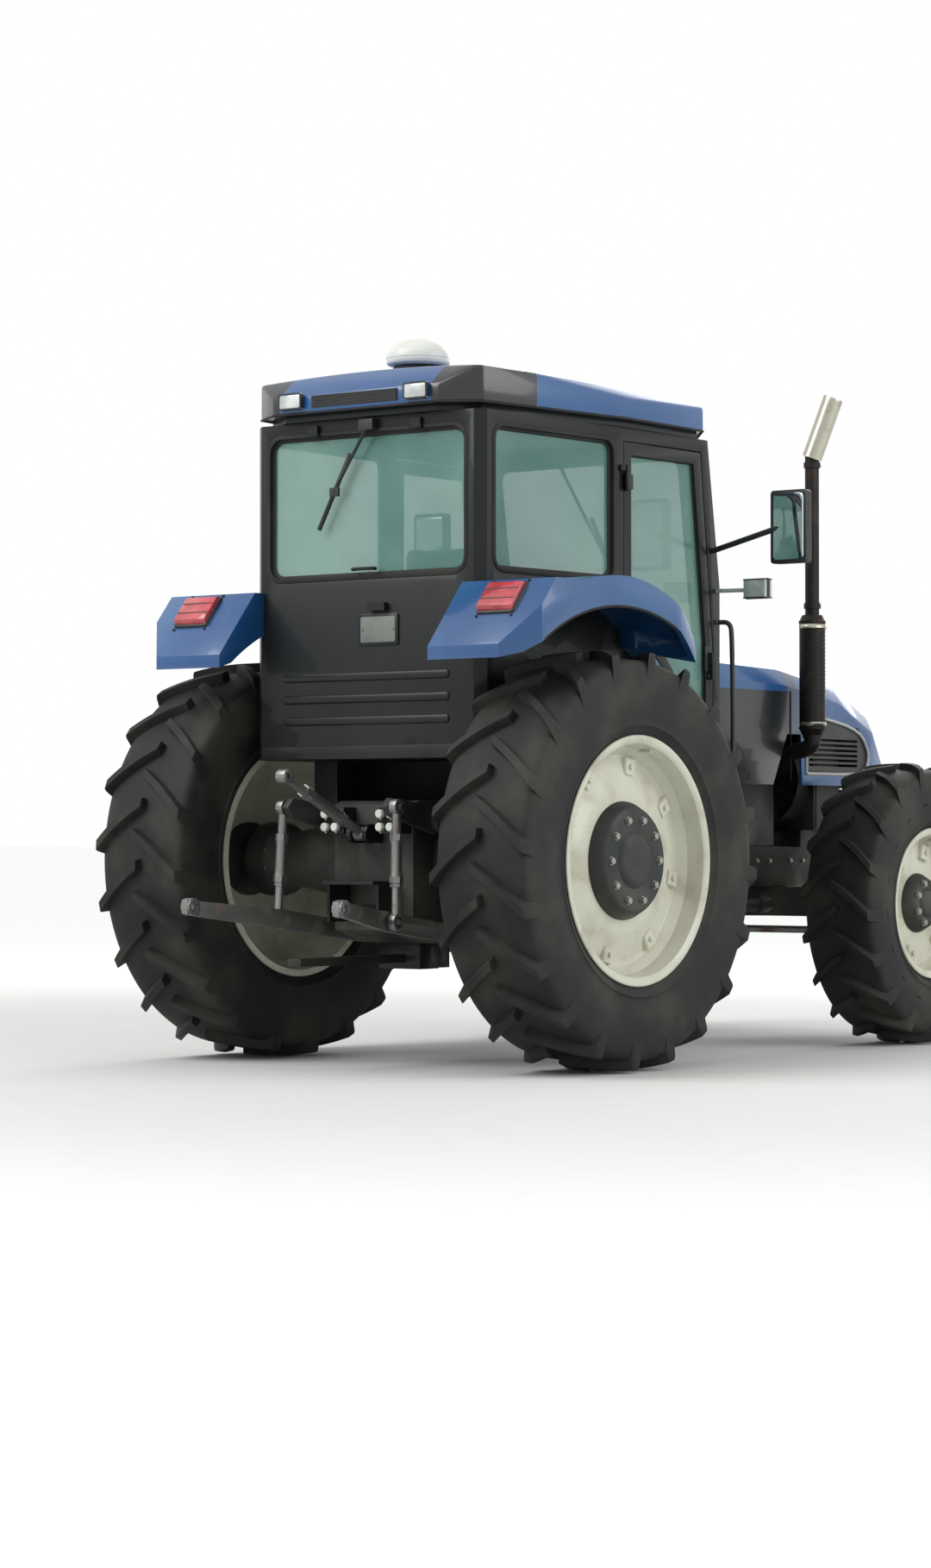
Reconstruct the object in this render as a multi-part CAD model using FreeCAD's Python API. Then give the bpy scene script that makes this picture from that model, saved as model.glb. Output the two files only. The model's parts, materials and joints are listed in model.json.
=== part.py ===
"""A four-wheel-drive farm tractor with a six-post cab, in millimetres.

+X is forward, +Y is the tractor's left and +Z is up. The origin is on the ground, midway along the
tractor. Each function below makes one piece, or one set of like pieces, as closed solids, and the table
at the end gives every piece its file name.
"""
import FreeCAD
import Part
import math
import os

V = FreeCAD.Vector

# Main stance
WHEELBASE = 2750
REAR_OVERHANG = 1190
FRONT_OVERHANG = 900
REAR_AXLE_X = -(WHEELBASE + FRONT_OVERHANG - REAR_OVERHANG) / 2
FRONT_AXLE_X = REAR_AXLE_X + WHEELBASE
NOSE_X = FRONT_AXLE_X + FRONT_OVERHANG
CAB_HALF = 700
REAR_TRACK_HALF = CAB_HALF + 280
KINGPIN_HALF = 735
FRONT_TRACK_HALF = KINGPIN_HALF + 205
SEAT_GAP = 0.3
BEAD_GAP = 0.5
RIM_FLANGE = 10
RIM_SHEET = 12
WHEEL_SIDES = 22
PIN_FIT = 0.1
MOVING_GAP = 6

# Rear wheel: tyre, rim and dark cast hub
REAR_WHEEL = dict(
    tip_radius=940, lug_height=42, tyre_half_width=250, section=407,
    seat_radius=533, flange_height=26, rim_half_width=228, well_depth=51,
    disc_face=130, disc_rise=40, disc_thick=14, hub_radius=265, hub_face=198, neck_radius=120,
    inner_flange_radius=175, inner_flange_face=-22, lugs=20, lug_width=50, lug_sweep=100,
)
# Front wheel
FRONT_WHEEL = dict(
    tip_radius=710, lug_height=34, tyre_half_width=200, section=353,
    seat_radius=356, flange_height=24, rim_half_width=165, well_depth=38,
    disc_face=62, disc_rise=10, disc_thick=12, hub_radius=150, hub_face=128, neck_radius=85,
    inner_flange_radius=120, inner_flange_face=-66, lugs=18, lug_width=42, lug_sweep=80,
)
REAR_AXLE_Z = REAR_WHEEL["tip_radius"]
FRONT_AXLE_Z = FRONT_WHEEL["tip_radius"]

# Rear housing and axle trumpets
HOUSING_HALF = 230
GEARBOX_HALF = 200
HOUSING_REAR_X = REAR_AXLE_X - 390
HOUSING_FRONT_X = REAR_AXLE_X + 1260
HOUSING_BOTTOM = 560
HOUSING_TOP = 1150
HOUSING_REAR_TOP = 1210
TRUMPET_ROOT_RADIUS = 215
TRUMPET_END_RADIUS = 150

# Engine and front frame
ENGINE_FRONT_X = FRONT_AXLE_X - 330
ENGINE_NOSE_X = FRONT_AXLE_X - 60
ENGINE_WAIST_X = FRONT_AXLE_X - 660
ENGINE_HALF = 270
ENGINE_TOP = 1560
SUMP_BOTTOM = 640
FRAME_HALF = 185
FRAME_BOTTOM = 815
FRAME_TOP = 1000

# Front axle
BEAM_HALF_HEIGHT = 75
BEAM_HALF_DEPTH = 80
KINGPIN_BOSS_RADIUS = 68
YOKE_EAR = 34
YOKE_WALL = 36
STEER_ARM = 190
TIE_ROD_RADIUS = 19
BALL_RADIUS = 30

# Cab
CAB_REAR_HALF = CAB_HALF - 36
CAB_REAR_X = REAR_AXLE_X - 450
CAB_FRONT_TOP_X = REAR_AXLE_X + 1300
CAB_FRONT_FOOT_X = REAR_AXLE_X + 1480
CAB_CORNER = 75
CAB_FLOOR_Z = 1250
CAB_FLOOR_THICK = 60
CAB_REAR_FLOOR_Z = 1460
CAB_STEP_X = REAR_AXLE_X + 180
CAB_TOP_Z = 2950
CAB_WALL = 55
POST_B_X = REAR_AXLE_X + 560
HINGE_X = POST_B_X + 42
HINGE_RADIUS = 13
WINDOW_TOP_Z = 2885
REAR_WINDOW_SILL_Z = 2230
WINDSCREEN_SILL_Z = 1790
GLASS = 8
DASH_HALF = 230
DOOR_THICK = 46
DOOR_SILL_Z = 1300
DOOR_KNEE_Z = 1950
DOOR_FRAME = 58
DOOR_ARCH_RADIUS = REAR_AXLE_Z + 345
FRONT_POST = 62

# Roof
ROOF_REAR_X = REAR_AXLE_X - 530
ROOF_FRONT_X = REAR_AXLE_X + 1430
ROOF_BRIM_Z = 2985
ROOF_TOP_Z = 3170

DOME_X = REAR_AXLE_X - 60

# Rear fenders
FENDER_LIP_RADIUS = REAR_AXLE_Z + 193
FENDER_RADIUS = REAR_AXLE_Z + 210
FENDER_TOP_RADIUS = REAR_AXLE_Z + 330
FENDER_SHEET = 35
FENDER_SKIRT = 28
FENDER_NOSE_TOP = REAR_AXLE_Z + 955
FENDER_OUTER_Y = REAR_TRACK_HALF + 140
FENDER_FRONT_Y = CAB_HALF + 90
TAIL_TOP = (REAR_AXLE_X - 515, REAR_AXLE_Z + FENDER_TOP_RADIUS - 35)
TAIL_FOOT = (REAR_AXLE_X - 765, TAIL_TOP[1] - 295)
TAIL_EDGE = 60
DOOR_OPEN = 75
LAMP_Y = FENDER_OUTER_Y - 235

# Hood
HOOD_REAR_X = REAR_AXLE_X + 1515
HOOD_REAR_TOP = 1965
HOOD_SKIRT_Z = 1310
HOOD_HALF = 400
HOOD_NOSE_HALF = 352
HOOD_SHEET = 14
HOOD_NOSE_X = FRONT_AXLE_X + 850
HOOD_CHIN_Z = 1030
NOSE_LOW_X = FRONT_AXLE_X + 580
HOOD_SECTIONS = (
    # name, X, half width, top
    ("rear", HOOD_REAR_X, HOOD_HALF, HOOD_REAR_TOP),
    ("middle", FRONT_AXLE_X - 300, HOOD_HALF - 6, HOOD_REAR_TOP - 25),
    ("brow", FRONT_AXLE_X + 280, HOOD_HALF - 28, HOOD_REAR_TOP - 105),
    ("shoulder", FRONT_AXLE_X + 650, HOOD_NOSE_HALF, HOOD_REAR_TOP - 250),
    ("nose", HOOD_NOSE_X, HOOD_NOSE_HALF - 42, HOOD_REAR_TOP - 480),
)
HOOD_HINGE = (HOOD_REAR_X + 45, 1880)
HOOD_PIN_RADIUS = 12
HOOD_LUG_Y = 200
HOOD_LUG_WIDTH = 26
GRILLE_HALF = 230
GRILLE_BOTTOM = HOOD_CHIN_Z + 40
GRILLE_TOP = 1325
VENT_REAR_X = FRONT_AXLE_X - 60
VENT_FRONT_X = FRONT_AXLE_X + 600
VENT_BOTTOM = HOOD_SKIRT_Z + 60
VENT_TOP = HOOD_REAR_TOP - 290

# Exhaust stack beside the hood
STACK_X = FRONT_AXLE_X - 185
STACK_Y = -500
STACK_FOOT_Z = 1560
STACK_BEND_Z = 3000
TAIL_LENGTH = 325
TAIL_RADIUS = 52
SILENCER_LENGTH = 620
PIPE_RADIUS = 44
SILENCER_RADIUS = 74

# Side tanks
TANK_INNER_Y = 330
TANK_OUTER_Y = 690
TANK_REAR_X = REAR_AXLE_X + 990
TANK_BOTTOM = 640
TANK_TOP = 1130
STEP_DEPTH = 110

# Rear linkage, places in X and Z
LINK_PIVOT = (REAR_AXLE_X - 190, 600)
LINK_END = (REAR_AXLE_X - 1150, 735)
LINK_PIN = (REAR_AXLE_X - 655, 668)
ROCKSHAFT = (REAR_AXLE_X - 300, 1120)
ARM_PIN = (REAR_AXLE_X - 635, 1179)
ARM_Y = 330
LINK_ROOT_Y = 270
LINK_END_Y = 435
LINK_PIVOT_RADIUS = 20
LINK_PIN_RADIUS = 15
LIFT_EYE_RADIUS = 24
BALL_BORE = 18.6
TOP_LINK_BORE = 12.9
TOP_PIN_RADIUS = 12.5
TOP_LINK_FOOT = (HOUSING_REAR_X - 85, 1060)
TOP_LINK_LENGTH = 600
TOP_LINK_RISE = 25
DRAWBAR_BORE = 16.5
DRAWBAR_Z = 470
PTO_Z = 720
PTO_RADIUS = 17.5
PTO_LENGTH = 95


def box(x0, x1, y0, y1, z0, z1):
    return Part.makeBox(x1 - x0, y1 - y0, z1 - z0, V(x0, y0, z0))


def rod(start, end, radius):
    start, end = V(*start), V(*end)
    return Part.makeCylinder(radius, (end - start).Length, start, end - start)


def mirrored(shape):
    return shape.mirror(V(0, 0, 0), V(0, 1, 0))


def pair(shape):
    return [shape, mirrored(shape)]


def face_from(points, place):
    """A flat face from an outline. A step of two points is an arc through the first to the second."""
    here = first = points[0]
    edges = []
    for step in points[1:] + [first]:
        if isinstance(step[0], tuple):
            middle, end = step
            edges.append(Part.Arc(place(*here), place(*middle), place(*end)).toShape())
            here = end
        elif step != here:
            edges.append(Part.makeLine(place(*here), place(*step)))
            here = step
    return Part.Face(Part.Wire(edges))


def side_prism(points, y0, y1):
    """An outline in X and Z, pulled along Y."""
    return face_from(points, lambda x, z: V(x, y0, z)).extrude(V(0, y1 - y0, 0))


def plan_prism(points, z0, z1):
    """An outline in X and Y, pulled up along Z."""
    return face_from(points, lambda x, y: V(x, y, z0)).extrude(V(0, 0, z1 - z0))


def end_prism(points, x0, x1):
    """An outline in Y and Z, pulled along X."""
    return face_from(points, lambda y, z: V(x0, y, z)).extrude(V(x1 - x0, 0, 0))


def polygon(corners):
    return Part.Face(Part.makePolygon(corners + corners[:1]))


def patch(corners):
    """A face through four corners, or two where they don't lie in one plane."""
    a, b, c, d = corners
    normal = (b - a).cross(c - a)
    if normal.Length > 0 and abs((d - a).dot(normal.normalize())) < 1e-6:
        return [polygon(corners)]
    return [polygon([a, b, c]), polygon([a, c, d])]


def solid_of(faces):
    solid = Part.Solid(Part.Shell(faces))
    return solid if solid.Volume > 0 else solid.reversed()


def faceted(points, sides, centre=(0, 0, 0), axis=(0, 1, 0)):
    """An outline of (distance along the axis, radius) taken round it in flat sides, with radii at corners."""
    turn = FreeCAD.Rotation(V(0, 1, 0), V(*axis))
    rings = []
    for number in range(sides):
        a = 2 * math.pi * number / sides
        ring = [V(radius * math.cos(a), along, radius * math.sin(a)) for along, radius in points]
        rings.append([V(*centre) + turn.multVec(corner) for corner in ring])
    faces = []
    for here, there in zip(rings, rings[1:] + rings[:1]):
        for i in range(len(points)):
            j = (i + 1) % len(points)
            first, second = points[i][1] > 0, points[j][1] > 0
            corners = [here[i], here[j]] + [there[j]] * second + [there[i]] * first
            if first or second:
                faces.append(polygon(corners))
    return solid_of(faces)


def bar(start, end, radius, sides=12):
    """A rod in flat sides, for what turns in nothing."""
    start, end = V(*start), V(*end)
    turn = FreeCAD.Rotation(V(0, 0, 1), end - start)
    angles = [2 * math.pi * (number + 0.5) / sides for number in range(sides)]
    corners = [start + turn.multVec(V(radius * math.cos(a), radius * math.sin(a), 0)) for a in angles]
    return polygon(corners).extrude(end - start)


def fused(shapes):
    return shapes[0].multiFuse(shapes[1:]).removeSplitter() if len(shapes) > 1 else shapes[0]


def runs_along(edge, axis):
    if not isinstance(edge.Curve, (Part.Line, Part.LineSegment)):
        return False
    step = edge.Vertexes[-1].Point - edge.Vertexes[0].Point
    return abs(step.normalize().dot(axis)) > 0.999


# Wheels, built about their own centre with +Y outwards


def tread_bar(w):
    """One slanting bar at the top of the wheel, its outer corners on the tip radius."""
    tip, half, sweep, width = w["tip_radius"], w["tyre_half_width"], w["lug_sweep"], w["lug_width"]
    lead = width / 2
    top = math.sqrt(tip ** 2 - (sweep + lead) ** 2)
    foot = tip - w["lug_height"] - 90
    nose_y, edge_y = -0.06 * half, half - 7
    corners = [(sweep + lead, nose_y), (sweep - lead, nose_y), (-sweep - lead, edge_y), (-sweep + lead, edge_y)]
    return polygon([V(x, y, foot) for x, y in corners]).extrude(V(0, 0, top - foot))


def tyre(w):
    """The carcass in flat sides and two rows of slanting bars, set half a step apart."""
    half, seat, tip = w["tyre_half_width"], w["seat_radius"] + BEAD_GAP, w["tip_radius"]
    bead_y = w["rim_half_width"] - RIM_FLANGE - BEAD_GAP
    tread, belly = tip - w["lug_height"], tip - w["section"] * 0.62
    side = [
        (bead_y, seat), (bead_y, seat + w["flange_height"]),
        (half, belly), (half - 8, tread - 40), (half - 60, tread),
    ]
    carcass = faceted([(-y, r) for y, r in side] + [(y, r) for y, r in reversed(side)], WHEEL_SIDES)
    left = tread_bar(w)
    right = mirrored(left)
    bars = []
    step = 360 / w["lugs"]
    lead = math.degrees(math.asin((w["lug_sweep"] + w["lug_width"] / 2) / tip))
    for number in range(w["lugs"]):
        for bar_shape, turn in ((left, number * step), (right, (number + 0.5) * step)):
            copy = bar_shape.copy()
            copy.rotate(V(0, 0, 0), V(0, 1, 0), 180 - lead + turn)
            bars.append(copy)
    return fused([carcass] + bars)


def rim(w):
    """The barrel between the flanges and the dished disc inside it."""
    half, seat = w["rim_half_width"], w["seat_radius"]
    inner, well = seat - RIM_SHEET, seat - w["well_depth"] - RIM_SHEET
    top = seat + w["flange_height"]
    face, thick = w["disc_face"], w["disc_thick"]
    outer = face - w["disc_rise"]
    return faceted([
        (-half, top), (-half + RIM_FLANGE, top), (-half + RIM_FLANGE, seat), (half - RIM_FLANGE, seat),
        (half - RIM_FLANGE, top), (half, top), (half, inner), (outer, well), (face, w["hub_radius"] + 26),
        (face, w["neck_radius"]), (face - thick, w["neck_radius"]), (face - thick, w["hub_radius"] + 20),
        (outer - thick, well), (-half, inner),
    ], WHEEL_SIDES)


def hub(w):
    """The cast hub outside the disc, its neck through the disc and the axle flange behind it."""
    face, back = w["disc_face"], w["disc_face"] - w["disc_thick"]
    outer, front = w["hub_radius"], w["hub_face"]
    neck, flange = w["neck_radius"], w["inner_flange_radius"]
    return faceted([
        (w["inner_flange_face"], 0), (front + 14, 0), (front + 14, outer * 0.36), (front, outer * 0.45),
        (front, outer - 34), (face, outer), (face, neck), (back, neck), (back, flange),
        (back - 30, flange), (back - 40, neck * 0.8), (w["inner_flange_face"], neck * 0.8),
    ], WHEEL_SIDES)


def placed(shape, x, y, z, left):
    shape = shape if left else mirrored(shape)
    return shape.translated(V(x, y if left else -y, z))


# Driveline and frames


def transmission():
    """Rear housing and gearbox, with the cab's front mounts and the tank hangers on it."""
    rear = side_prism([
        (HOUSING_REAR_X, 620), (HOUSING_REAR_X, HOUSING_REAR_TOP - 20),
        (HOUSING_REAR_X + 40, HOUSING_REAR_TOP), (CAB_STEP_X - 120, HOUSING_REAR_TOP),
        (CAB_STEP_X - 60, HOUSING_TOP), (REAR_AXLE_X + 420, HOUSING_TOP - 40),
        (REAR_AXLE_X + 420, HOUSING_BOTTOM), (REAR_AXLE_X - 200, HOUSING_BOTTOM),
    ], -HOUSING_HALF, HOUSING_HALF)
    gearbox = side_prism([
        (REAR_AXLE_X + 400, HOUSING_BOTTOM + 20), (REAR_AXLE_X + 400, HOUSING_TOP - 60),
        (HOUSING_FRONT_X - 160, HOUSING_TOP - 110), (HOUSING_FRONT_X, HOUSING_TOP - 60),
        (HOUSING_FRONT_X, HOUSING_BOTTOM + 70), (HOUSING_FRONT_X - 200, HOUSING_BOTTOM + 20),
    ], -GEARBOX_HALF, GEARBOX_HALF)
    shapes = [rear, gearbox]
    for x in (TANK_REAR_X + 120, TANK_REAR_X + 220):
        shapes.append(box(x - 30, x + 30, -TANK_INNER_Y, TANK_INNER_Y, 900, 980))
    saddle = HOUSING_FRONT_X - 180
    cab_foot = CAB_FLOOR_Z - CAB_FLOOR_THICK
    shapes.append(box(saddle, saddle + 90, -560, 560, TANK_TOP + MOVING_GAP, cab_foot))
    shapes.append(box(saddle, saddle + 90, -GEARBOX_HALF, GEARBOX_HALF, HOUSING_TOP - 200, cab_foot))
    return fused(shapes)


def rear_axle():
    root, end = TRUMPET_ROOT_RADIUS, TRUMPET_END_RADIUS
    end_y = REAR_TRACK_HALF + REAR_WHEEL["inner_flange_face"] - SEAT_GAP
    trumpet = faceted([
        (HOUSING_HALF, 0), (HOUSING_HALF, root + 35), (HOUSING_HALF + 35, root + 35),
        (HOUSING_HALF + 35, root), (end_y - 190, end - 20),
        (end_y - 110, end + 25), (end_y, end + 25), (end_y, 0),
    ], 16, (REAR_AXLE_X, 0, REAR_AXLE_Z))
    cab_foot = CAB_REAR_FLOOR_Z - CAB_FLOOR_THICK
    column = box(REAR_AXLE_X - 90, REAR_AXLE_X + 90, 460, 600, REAR_AXLE_Z + 100, cab_foot)
    side = fused([trumpet, column])
    return Part.makeCompound(pair(side))


def engine():
    """The engine block, narrower between the front tyres, its sump, and the post that hinges the hood."""
    rear_top = CAB_FLOOR_Z - CAB_FLOOR_THICK - 20
    block = side_prism([
        (HOUSING_FRONT_X, SUMP_BOTTOM + 130), (HOUSING_FRONT_X, rear_top), (HOOD_REAR_X + 10, rear_top),
        (HOOD_REAR_X + 10, ENGINE_TOP), (ENGINE_NOSE_X - 90, ENGINE_TOP), (ENGINE_NOSE_X, ENGINE_TOP - 40),
        (ENGINE_NOSE_X, FRAME_TOP), (ENGINE_FRONT_X, FRAME_TOP), (ENGINE_FRONT_X, SUMP_BOTTOM + 130),
    ], -ENGINE_HALF, ENGINE_HALF)
    waist = [
        (HOUSING_FRONT_X, ENGINE_HALF), (ENGINE_WAIST_X, ENGINE_HALF),
        (ENGINE_WAIST_X + 90, FRAME_HALF), (ENGINE_NOSE_X, FRAME_HALF),
    ]
    block = block.common(plan_prism(waist + [(x, -y) for x, y in reversed(waist)], 500, 1700))
    sump = side_prism([
        (HOUSING_FRONT_X + 40, SUMP_BOTTOM + 140), (ENGINE_FRONT_X - 60, SUMP_BOTTOM + 140),
        (ENGINE_FRONT_X - 90, SUMP_BOTTOM + 60), (ENGINE_FRONT_X - 420, SUMP_BOTTOM),
        (HOUSING_FRONT_X + 90, SUMP_BOTTOM),
    ], -FRAME_HALF, FRAME_HALF)
    x, z = HOOD_HINGE
    inner = HOOD_LUG_Y - SEAT_GAP
    post = box(x - 22, x + 22, -inner, inner, ENGINE_TOP - 20, z)
    reach = HOOD_LUG_Y + HOOD_LUG_WIDTH + 8
    pin = rod((x, -reach, z), (x, reach, z), HOOD_PIN_RADIUS)
    sleeve = bar((x, -inner, z), (x, inner, z), 22, 8)
    return fused([block, sump, post, pin, sleeve])


def front_support():
    """The cast front frame over the axle, the weight carrier at the nose and the cooling pack on top."""
    beam_top = FRONT_AXLE_Z + BEAM_HALF_HEIGHT + SEAT_GAP
    frame = side_prism([
        (ENGINE_FRONT_X, FRAME_BOTTOM), (ENGINE_FRONT_X, FRAME_TOP), (NOSE_X - 120, FRAME_TOP - 20),
        (NOSE_X - 120, FRAME_BOTTOM - 80), (NOSE_X - 300, FRAME_BOTTOM - 60),
        (FRONT_AXLE_X + 330, FRAME_BOTTOM), (FRONT_AXLE_X + 150, beam_top),
        (FRONT_AXLE_X - 150, beam_top), (FRONT_AXLE_X - 220, FRAME_BOTTOM),
    ], -FRAME_HALF, FRAME_HALF)
    carrier = box(NOSE_X - 120, NOSE_X, -240, 240, FRAME_BOTTOM - 110, FRAME_TOP - 40)
    cooler_x, cooler_z, cooler_half = FRONT_AXLE_X + 180, FRAME_TOP + 80, FRAME_HALF + 95
    pack = box(cooler_x, cooler_x + 240, -cooler_half, cooler_half, cooler_z, cooler_z + 520)
    foot = box(cooler_x + 20, cooler_x + 220, -FRAME_HALF, FRAME_HALF, FRAME_TOP - 30, cooler_z + 10)
    return fused([frame, carrier, foot, pack])


def front_axle():
    z0, z1 = FRONT_AXLE_Z - BEAM_HALF_HEIGHT, FRONT_AXLE_Z + BEAM_HALF_HEIGHT
    depth, neck = BEAM_HALF_DEPTH, 48
    outline = [
        (FRONT_AXLE_X - depth - 60, 0), (FRONT_AXLE_X - depth, 170), (FRONT_AXLE_X - depth + 10, 480),
        (FRONT_AXLE_X - neck, 600), (FRONT_AXLE_X - neck, KINGPIN_HALF),
        (FRONT_AXLE_X + neck, KINGPIN_HALF), (FRONT_AXLE_X + neck, 600),
        (FRONT_AXLE_X + depth - 10, 480), (FRONT_AXLE_X + depth, 170), (FRONT_AXLE_X + depth + 60, 0),
    ]
    half = fused([
        plan_prism(outline, z0, z1),
        bar((FRONT_AXLE_X, KINGPIN_HALF, z0), (FRONT_AXLE_X, KINGPIN_HALF, z1), KINGPIN_BOSS_RADIUS, 16),
    ])
    return fused(pair(half))


def front_knuckle(left):
    """A yoke round the kingpin boss, the spindle to the hub and an arm back to the tie rod."""
    gap, ear, radius = SEAT_GAP, YOKE_EAR, KINGPIN_BOSS_RADIUS + 10
    z0, z1 = FRONT_AXLE_Z - BEAM_HALF_HEIGHT, FRONT_AXLE_Z + BEAM_HALF_HEIGHT
    x, y = FRONT_AXLE_X, KINGPIN_HALF
    wall_in = KINGPIN_BOSS_RADIUS + MOVING_GAP
    wall_out = wall_in + YOKE_WALL
    stub_end = FRONT_TRACK_HALF + FRONT_WHEEL["inner_flange_face"] - SEAT_GAP
    yoke = fused([
        bar((x, y, z1 + gap), (x, y, z1 + gap + ear), radius, 16),
        bar((x, y, z0 - gap - ear), (x, y, z0 - gap), radius, 16),
        box(x - radius, x + radius, y, y + wall_out, z1 + gap, z1 + gap + ear),
        box(x - radius, x + radius, y, y + wall_out, z0 - gap - ear, z0 - gap),
        box(x - radius, x + radius, y + wall_in, y + wall_out, z0 - gap - ear, z1 + gap + ear),
        bar((x, y + wall_in + 1, FRONT_AXLE_Z), (x, stub_end, FRONT_AXLE_Z), radius + 10, 16),
        box(x - STEER_ARM, x, y - 26, y + 26, z0 - gap - ear, z0 - gap),
        bar((x - STEER_ARM, y, z0 - gap - ear), (x - STEER_ARM, y, z0 - gap), 34),
    ])
    return yoke if left else mirrored(yoke)


def tie_rod():
    x = FRONT_AXLE_X - STEER_ARM
    low = FRONT_AXLE_Z - BEAM_HALF_HEIGHT - SEAT_GAP - YOKE_EAR
    z = low - SEAT_GAP - BALL_RADIUS
    y = KINGPIN_HALF
    rod_shape = bar((x, -y, z), (x, y, z), TIE_ROD_RADIUS)
    end = bar((x, y, z - BALL_RADIUS), (x, y, z + BALL_RADIUS), BALL_RADIUS)
    return fused([rod_shape] + pair(end))


# Cab


def cab_outline(inset):
    """Half widths of the cab in plan, from the rear glass to the windscreen foot."""
    rear, front = CAB_REAR_X + inset, CAB_FRONT_FOOT_X - inset
    side, rear_side = CAB_HALF - inset, CAB_REAR_HALF - inset
    half = [
        (rear, rear_side - 45), (rear + 40, rear_side), (POST_B_X, side),
        (front - CAB_CORNER, side), (front, side - 110),
    ]
    return half + [(x, -y) for x, y in reversed(half)]


def cab_body(inset, bottom, top):
    rake = [
        (CAB_REAR_X + inset, bottom), (CAB_REAR_X + inset, top),
        (CAB_FRONT_TOP_X - inset, top), (CAB_FRONT_FOOT_X - inset, WINDSCREEN_SILL_Z - 40),
        (CAB_FRONT_FOOT_X - inset, bottom),
    ]
    return plan_prism(cab_outline(inset), bottom, top).common(side_prism(rake, -1000, 1000))


def door_outline(grow):
    """The door's side outline, its lower rear edge following the fender's arch."""
    rear, front_foot = HINGE_X - grow, CAB_FRONT_FOOT_X - CAB_CORNER - FRONT_POST + grow
    front_top = CAB_FRONT_TOP_X - FRONT_POST + grow
    top, sill = WINDOW_TOP_Z + grow, DOOR_SILL_Z - grow
    radius = DOOR_ARCH_RADIUS - grow

    def arch(x):
        return REAR_AXLE_Z + math.sqrt(radius ** 2 - (x - REAR_AXLE_X) ** 2)

    low_x = REAR_AXLE_X + math.sqrt(radius ** 2 - (sill - REAR_AXLE_Z) ** 2)
    middle = (rear + low_x) / 2 + 40
    return [
        (rear, top), (front_top, top), (front_foot, DOOR_KNEE_Z), (front_foot, sill),
        (low_x, sill), ((middle, arch(middle)), (rear, arch(rear))),
    ]


def window_cut(x0, x1, z0, z1, radius):
    """A side window's hole right across the cab, with rounded corners."""
    hole = box(x0, x1, -1000, 1000, z0, z1)
    return hole.makeFillet(radius, [e for e in hole.Edges if runs_along(e, V(0, 1, 0))])


def end_window_cut(half, x0, x1, z0, z1, radius):
    hole = box(x0, x1, -half, half, z0, z1)
    return hole.makeFillet(radius, [e for e in hole.Edges if runs_along(e, V(1, 0, 0))])


HINGE_Y = CAB_HALF + 17
HINGE_LEVELS = (2175, 2700)
QUARTER = (CAB_REAR_X + 95, POST_B_X - 42, REAR_WINDOW_SILL_Z + 10, WINDOW_TOP_Z, 60)
REAR_PANE = (CAB_REAR_HALF - 95, REAR_WINDOW_SILL_Z, WINDOW_TOP_Z, 70)
FRONT_PANE = (CAB_HALF - 150, WINDSCREEN_SILL_Z, WINDOW_TOP_Z, 70)


def cab_frame():
    """Posts, rails and lower panels, the ceiling slab under the roof cap, and the door hinge posts."""
    shell = cab_body(0, CAB_FLOOR_Z, CAB_TOP_Z).cut(cab_body(CAB_WALL, CAB_FLOOR_Z - 10, CAB_TOP_Z + 10))
    shell = shell.cut(box(CAB_REAR_X - 50, CAB_STEP_X + CAB_FLOOR_THICK, -1000, 1000, 1000, CAB_REAR_FLOOR_Z))
    shell = shell.cut(side_prism(door_outline(MOVING_GAP), -1000, 1000))
    shell = shell.cut(window_cut(*QUARTER))
    half, z0, z1, radius = REAR_PANE
    shell = shell.cut(end_window_cut(half, CAB_REAR_X - 50, CAB_REAR_X + 100, z0, z1, radius))
    half, z0, z1, radius = FRONT_PANE
    shell = shell.cut(end_window_cut(half, CAB_FRONT_TOP_X - 120, CAB_FRONT_FOOT_X + 60, z0, z1, radius))
    ceiling = plan_prism(roof_outline(40), CAB_TOP_Z, ROOF_BRIM_Z)
    shapes = [shell, ceiling]
    for side in (-1, 1):
        for z in HINGE_LEVELS:
            y0, y1 = sorted((side * (CAB_HALF - 3), side * (CAB_HALF + 15)))
            shapes.append(box(HINGE_X - 44, HINGE_X - HINGE_RADIUS - 2, y0, y1, z + 47, z + 75))
            low, high = z + 45 + SEAT_GAP, z + 76
            shapes.append(bar((HINGE_X, side * HINGE_Y, low), (HINGE_X, side * HINGE_Y, high), HINGE_RADIUS))
            y0, y1 = sorted((side * HINGE_Y, side * (HINGE_Y - 8)))
            shapes.append(box(HINGE_X - 30, HINGE_X, y0, y1, z + 47, z + 75))
    return fused(shapes)


def cab_glass():
    """Fixed panes, each set in the middle of its wall."""
    inset = CAB_WALL / 2 - GLASS / 2
    skin = cab_body(inset, CAB_FLOOR_Z, CAB_TOP_Z).cut(cab_body(inset + GLASS, CAB_FLOOR_Z - 10, CAB_TOP_Z + 10))
    half, z0, z1, radius = REAR_PANE
    rear = skin.common(end_window_cut(half, CAB_REAR_X - 50, CAB_REAR_X + 100, z0, z1, radius))
    quarters = skin.common(window_cut(*QUARTER))
    half, z0, z1, radius = FRONT_PANE
    front = skin.common(end_window_cut(half, CAB_FRONT_TOP_X - 120, CAB_FRONT_FOOT_X + 60, z0, z1, radius))
    return Part.makeCompound(rear.Solids + quarters.Solids + front.Solids)


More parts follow.
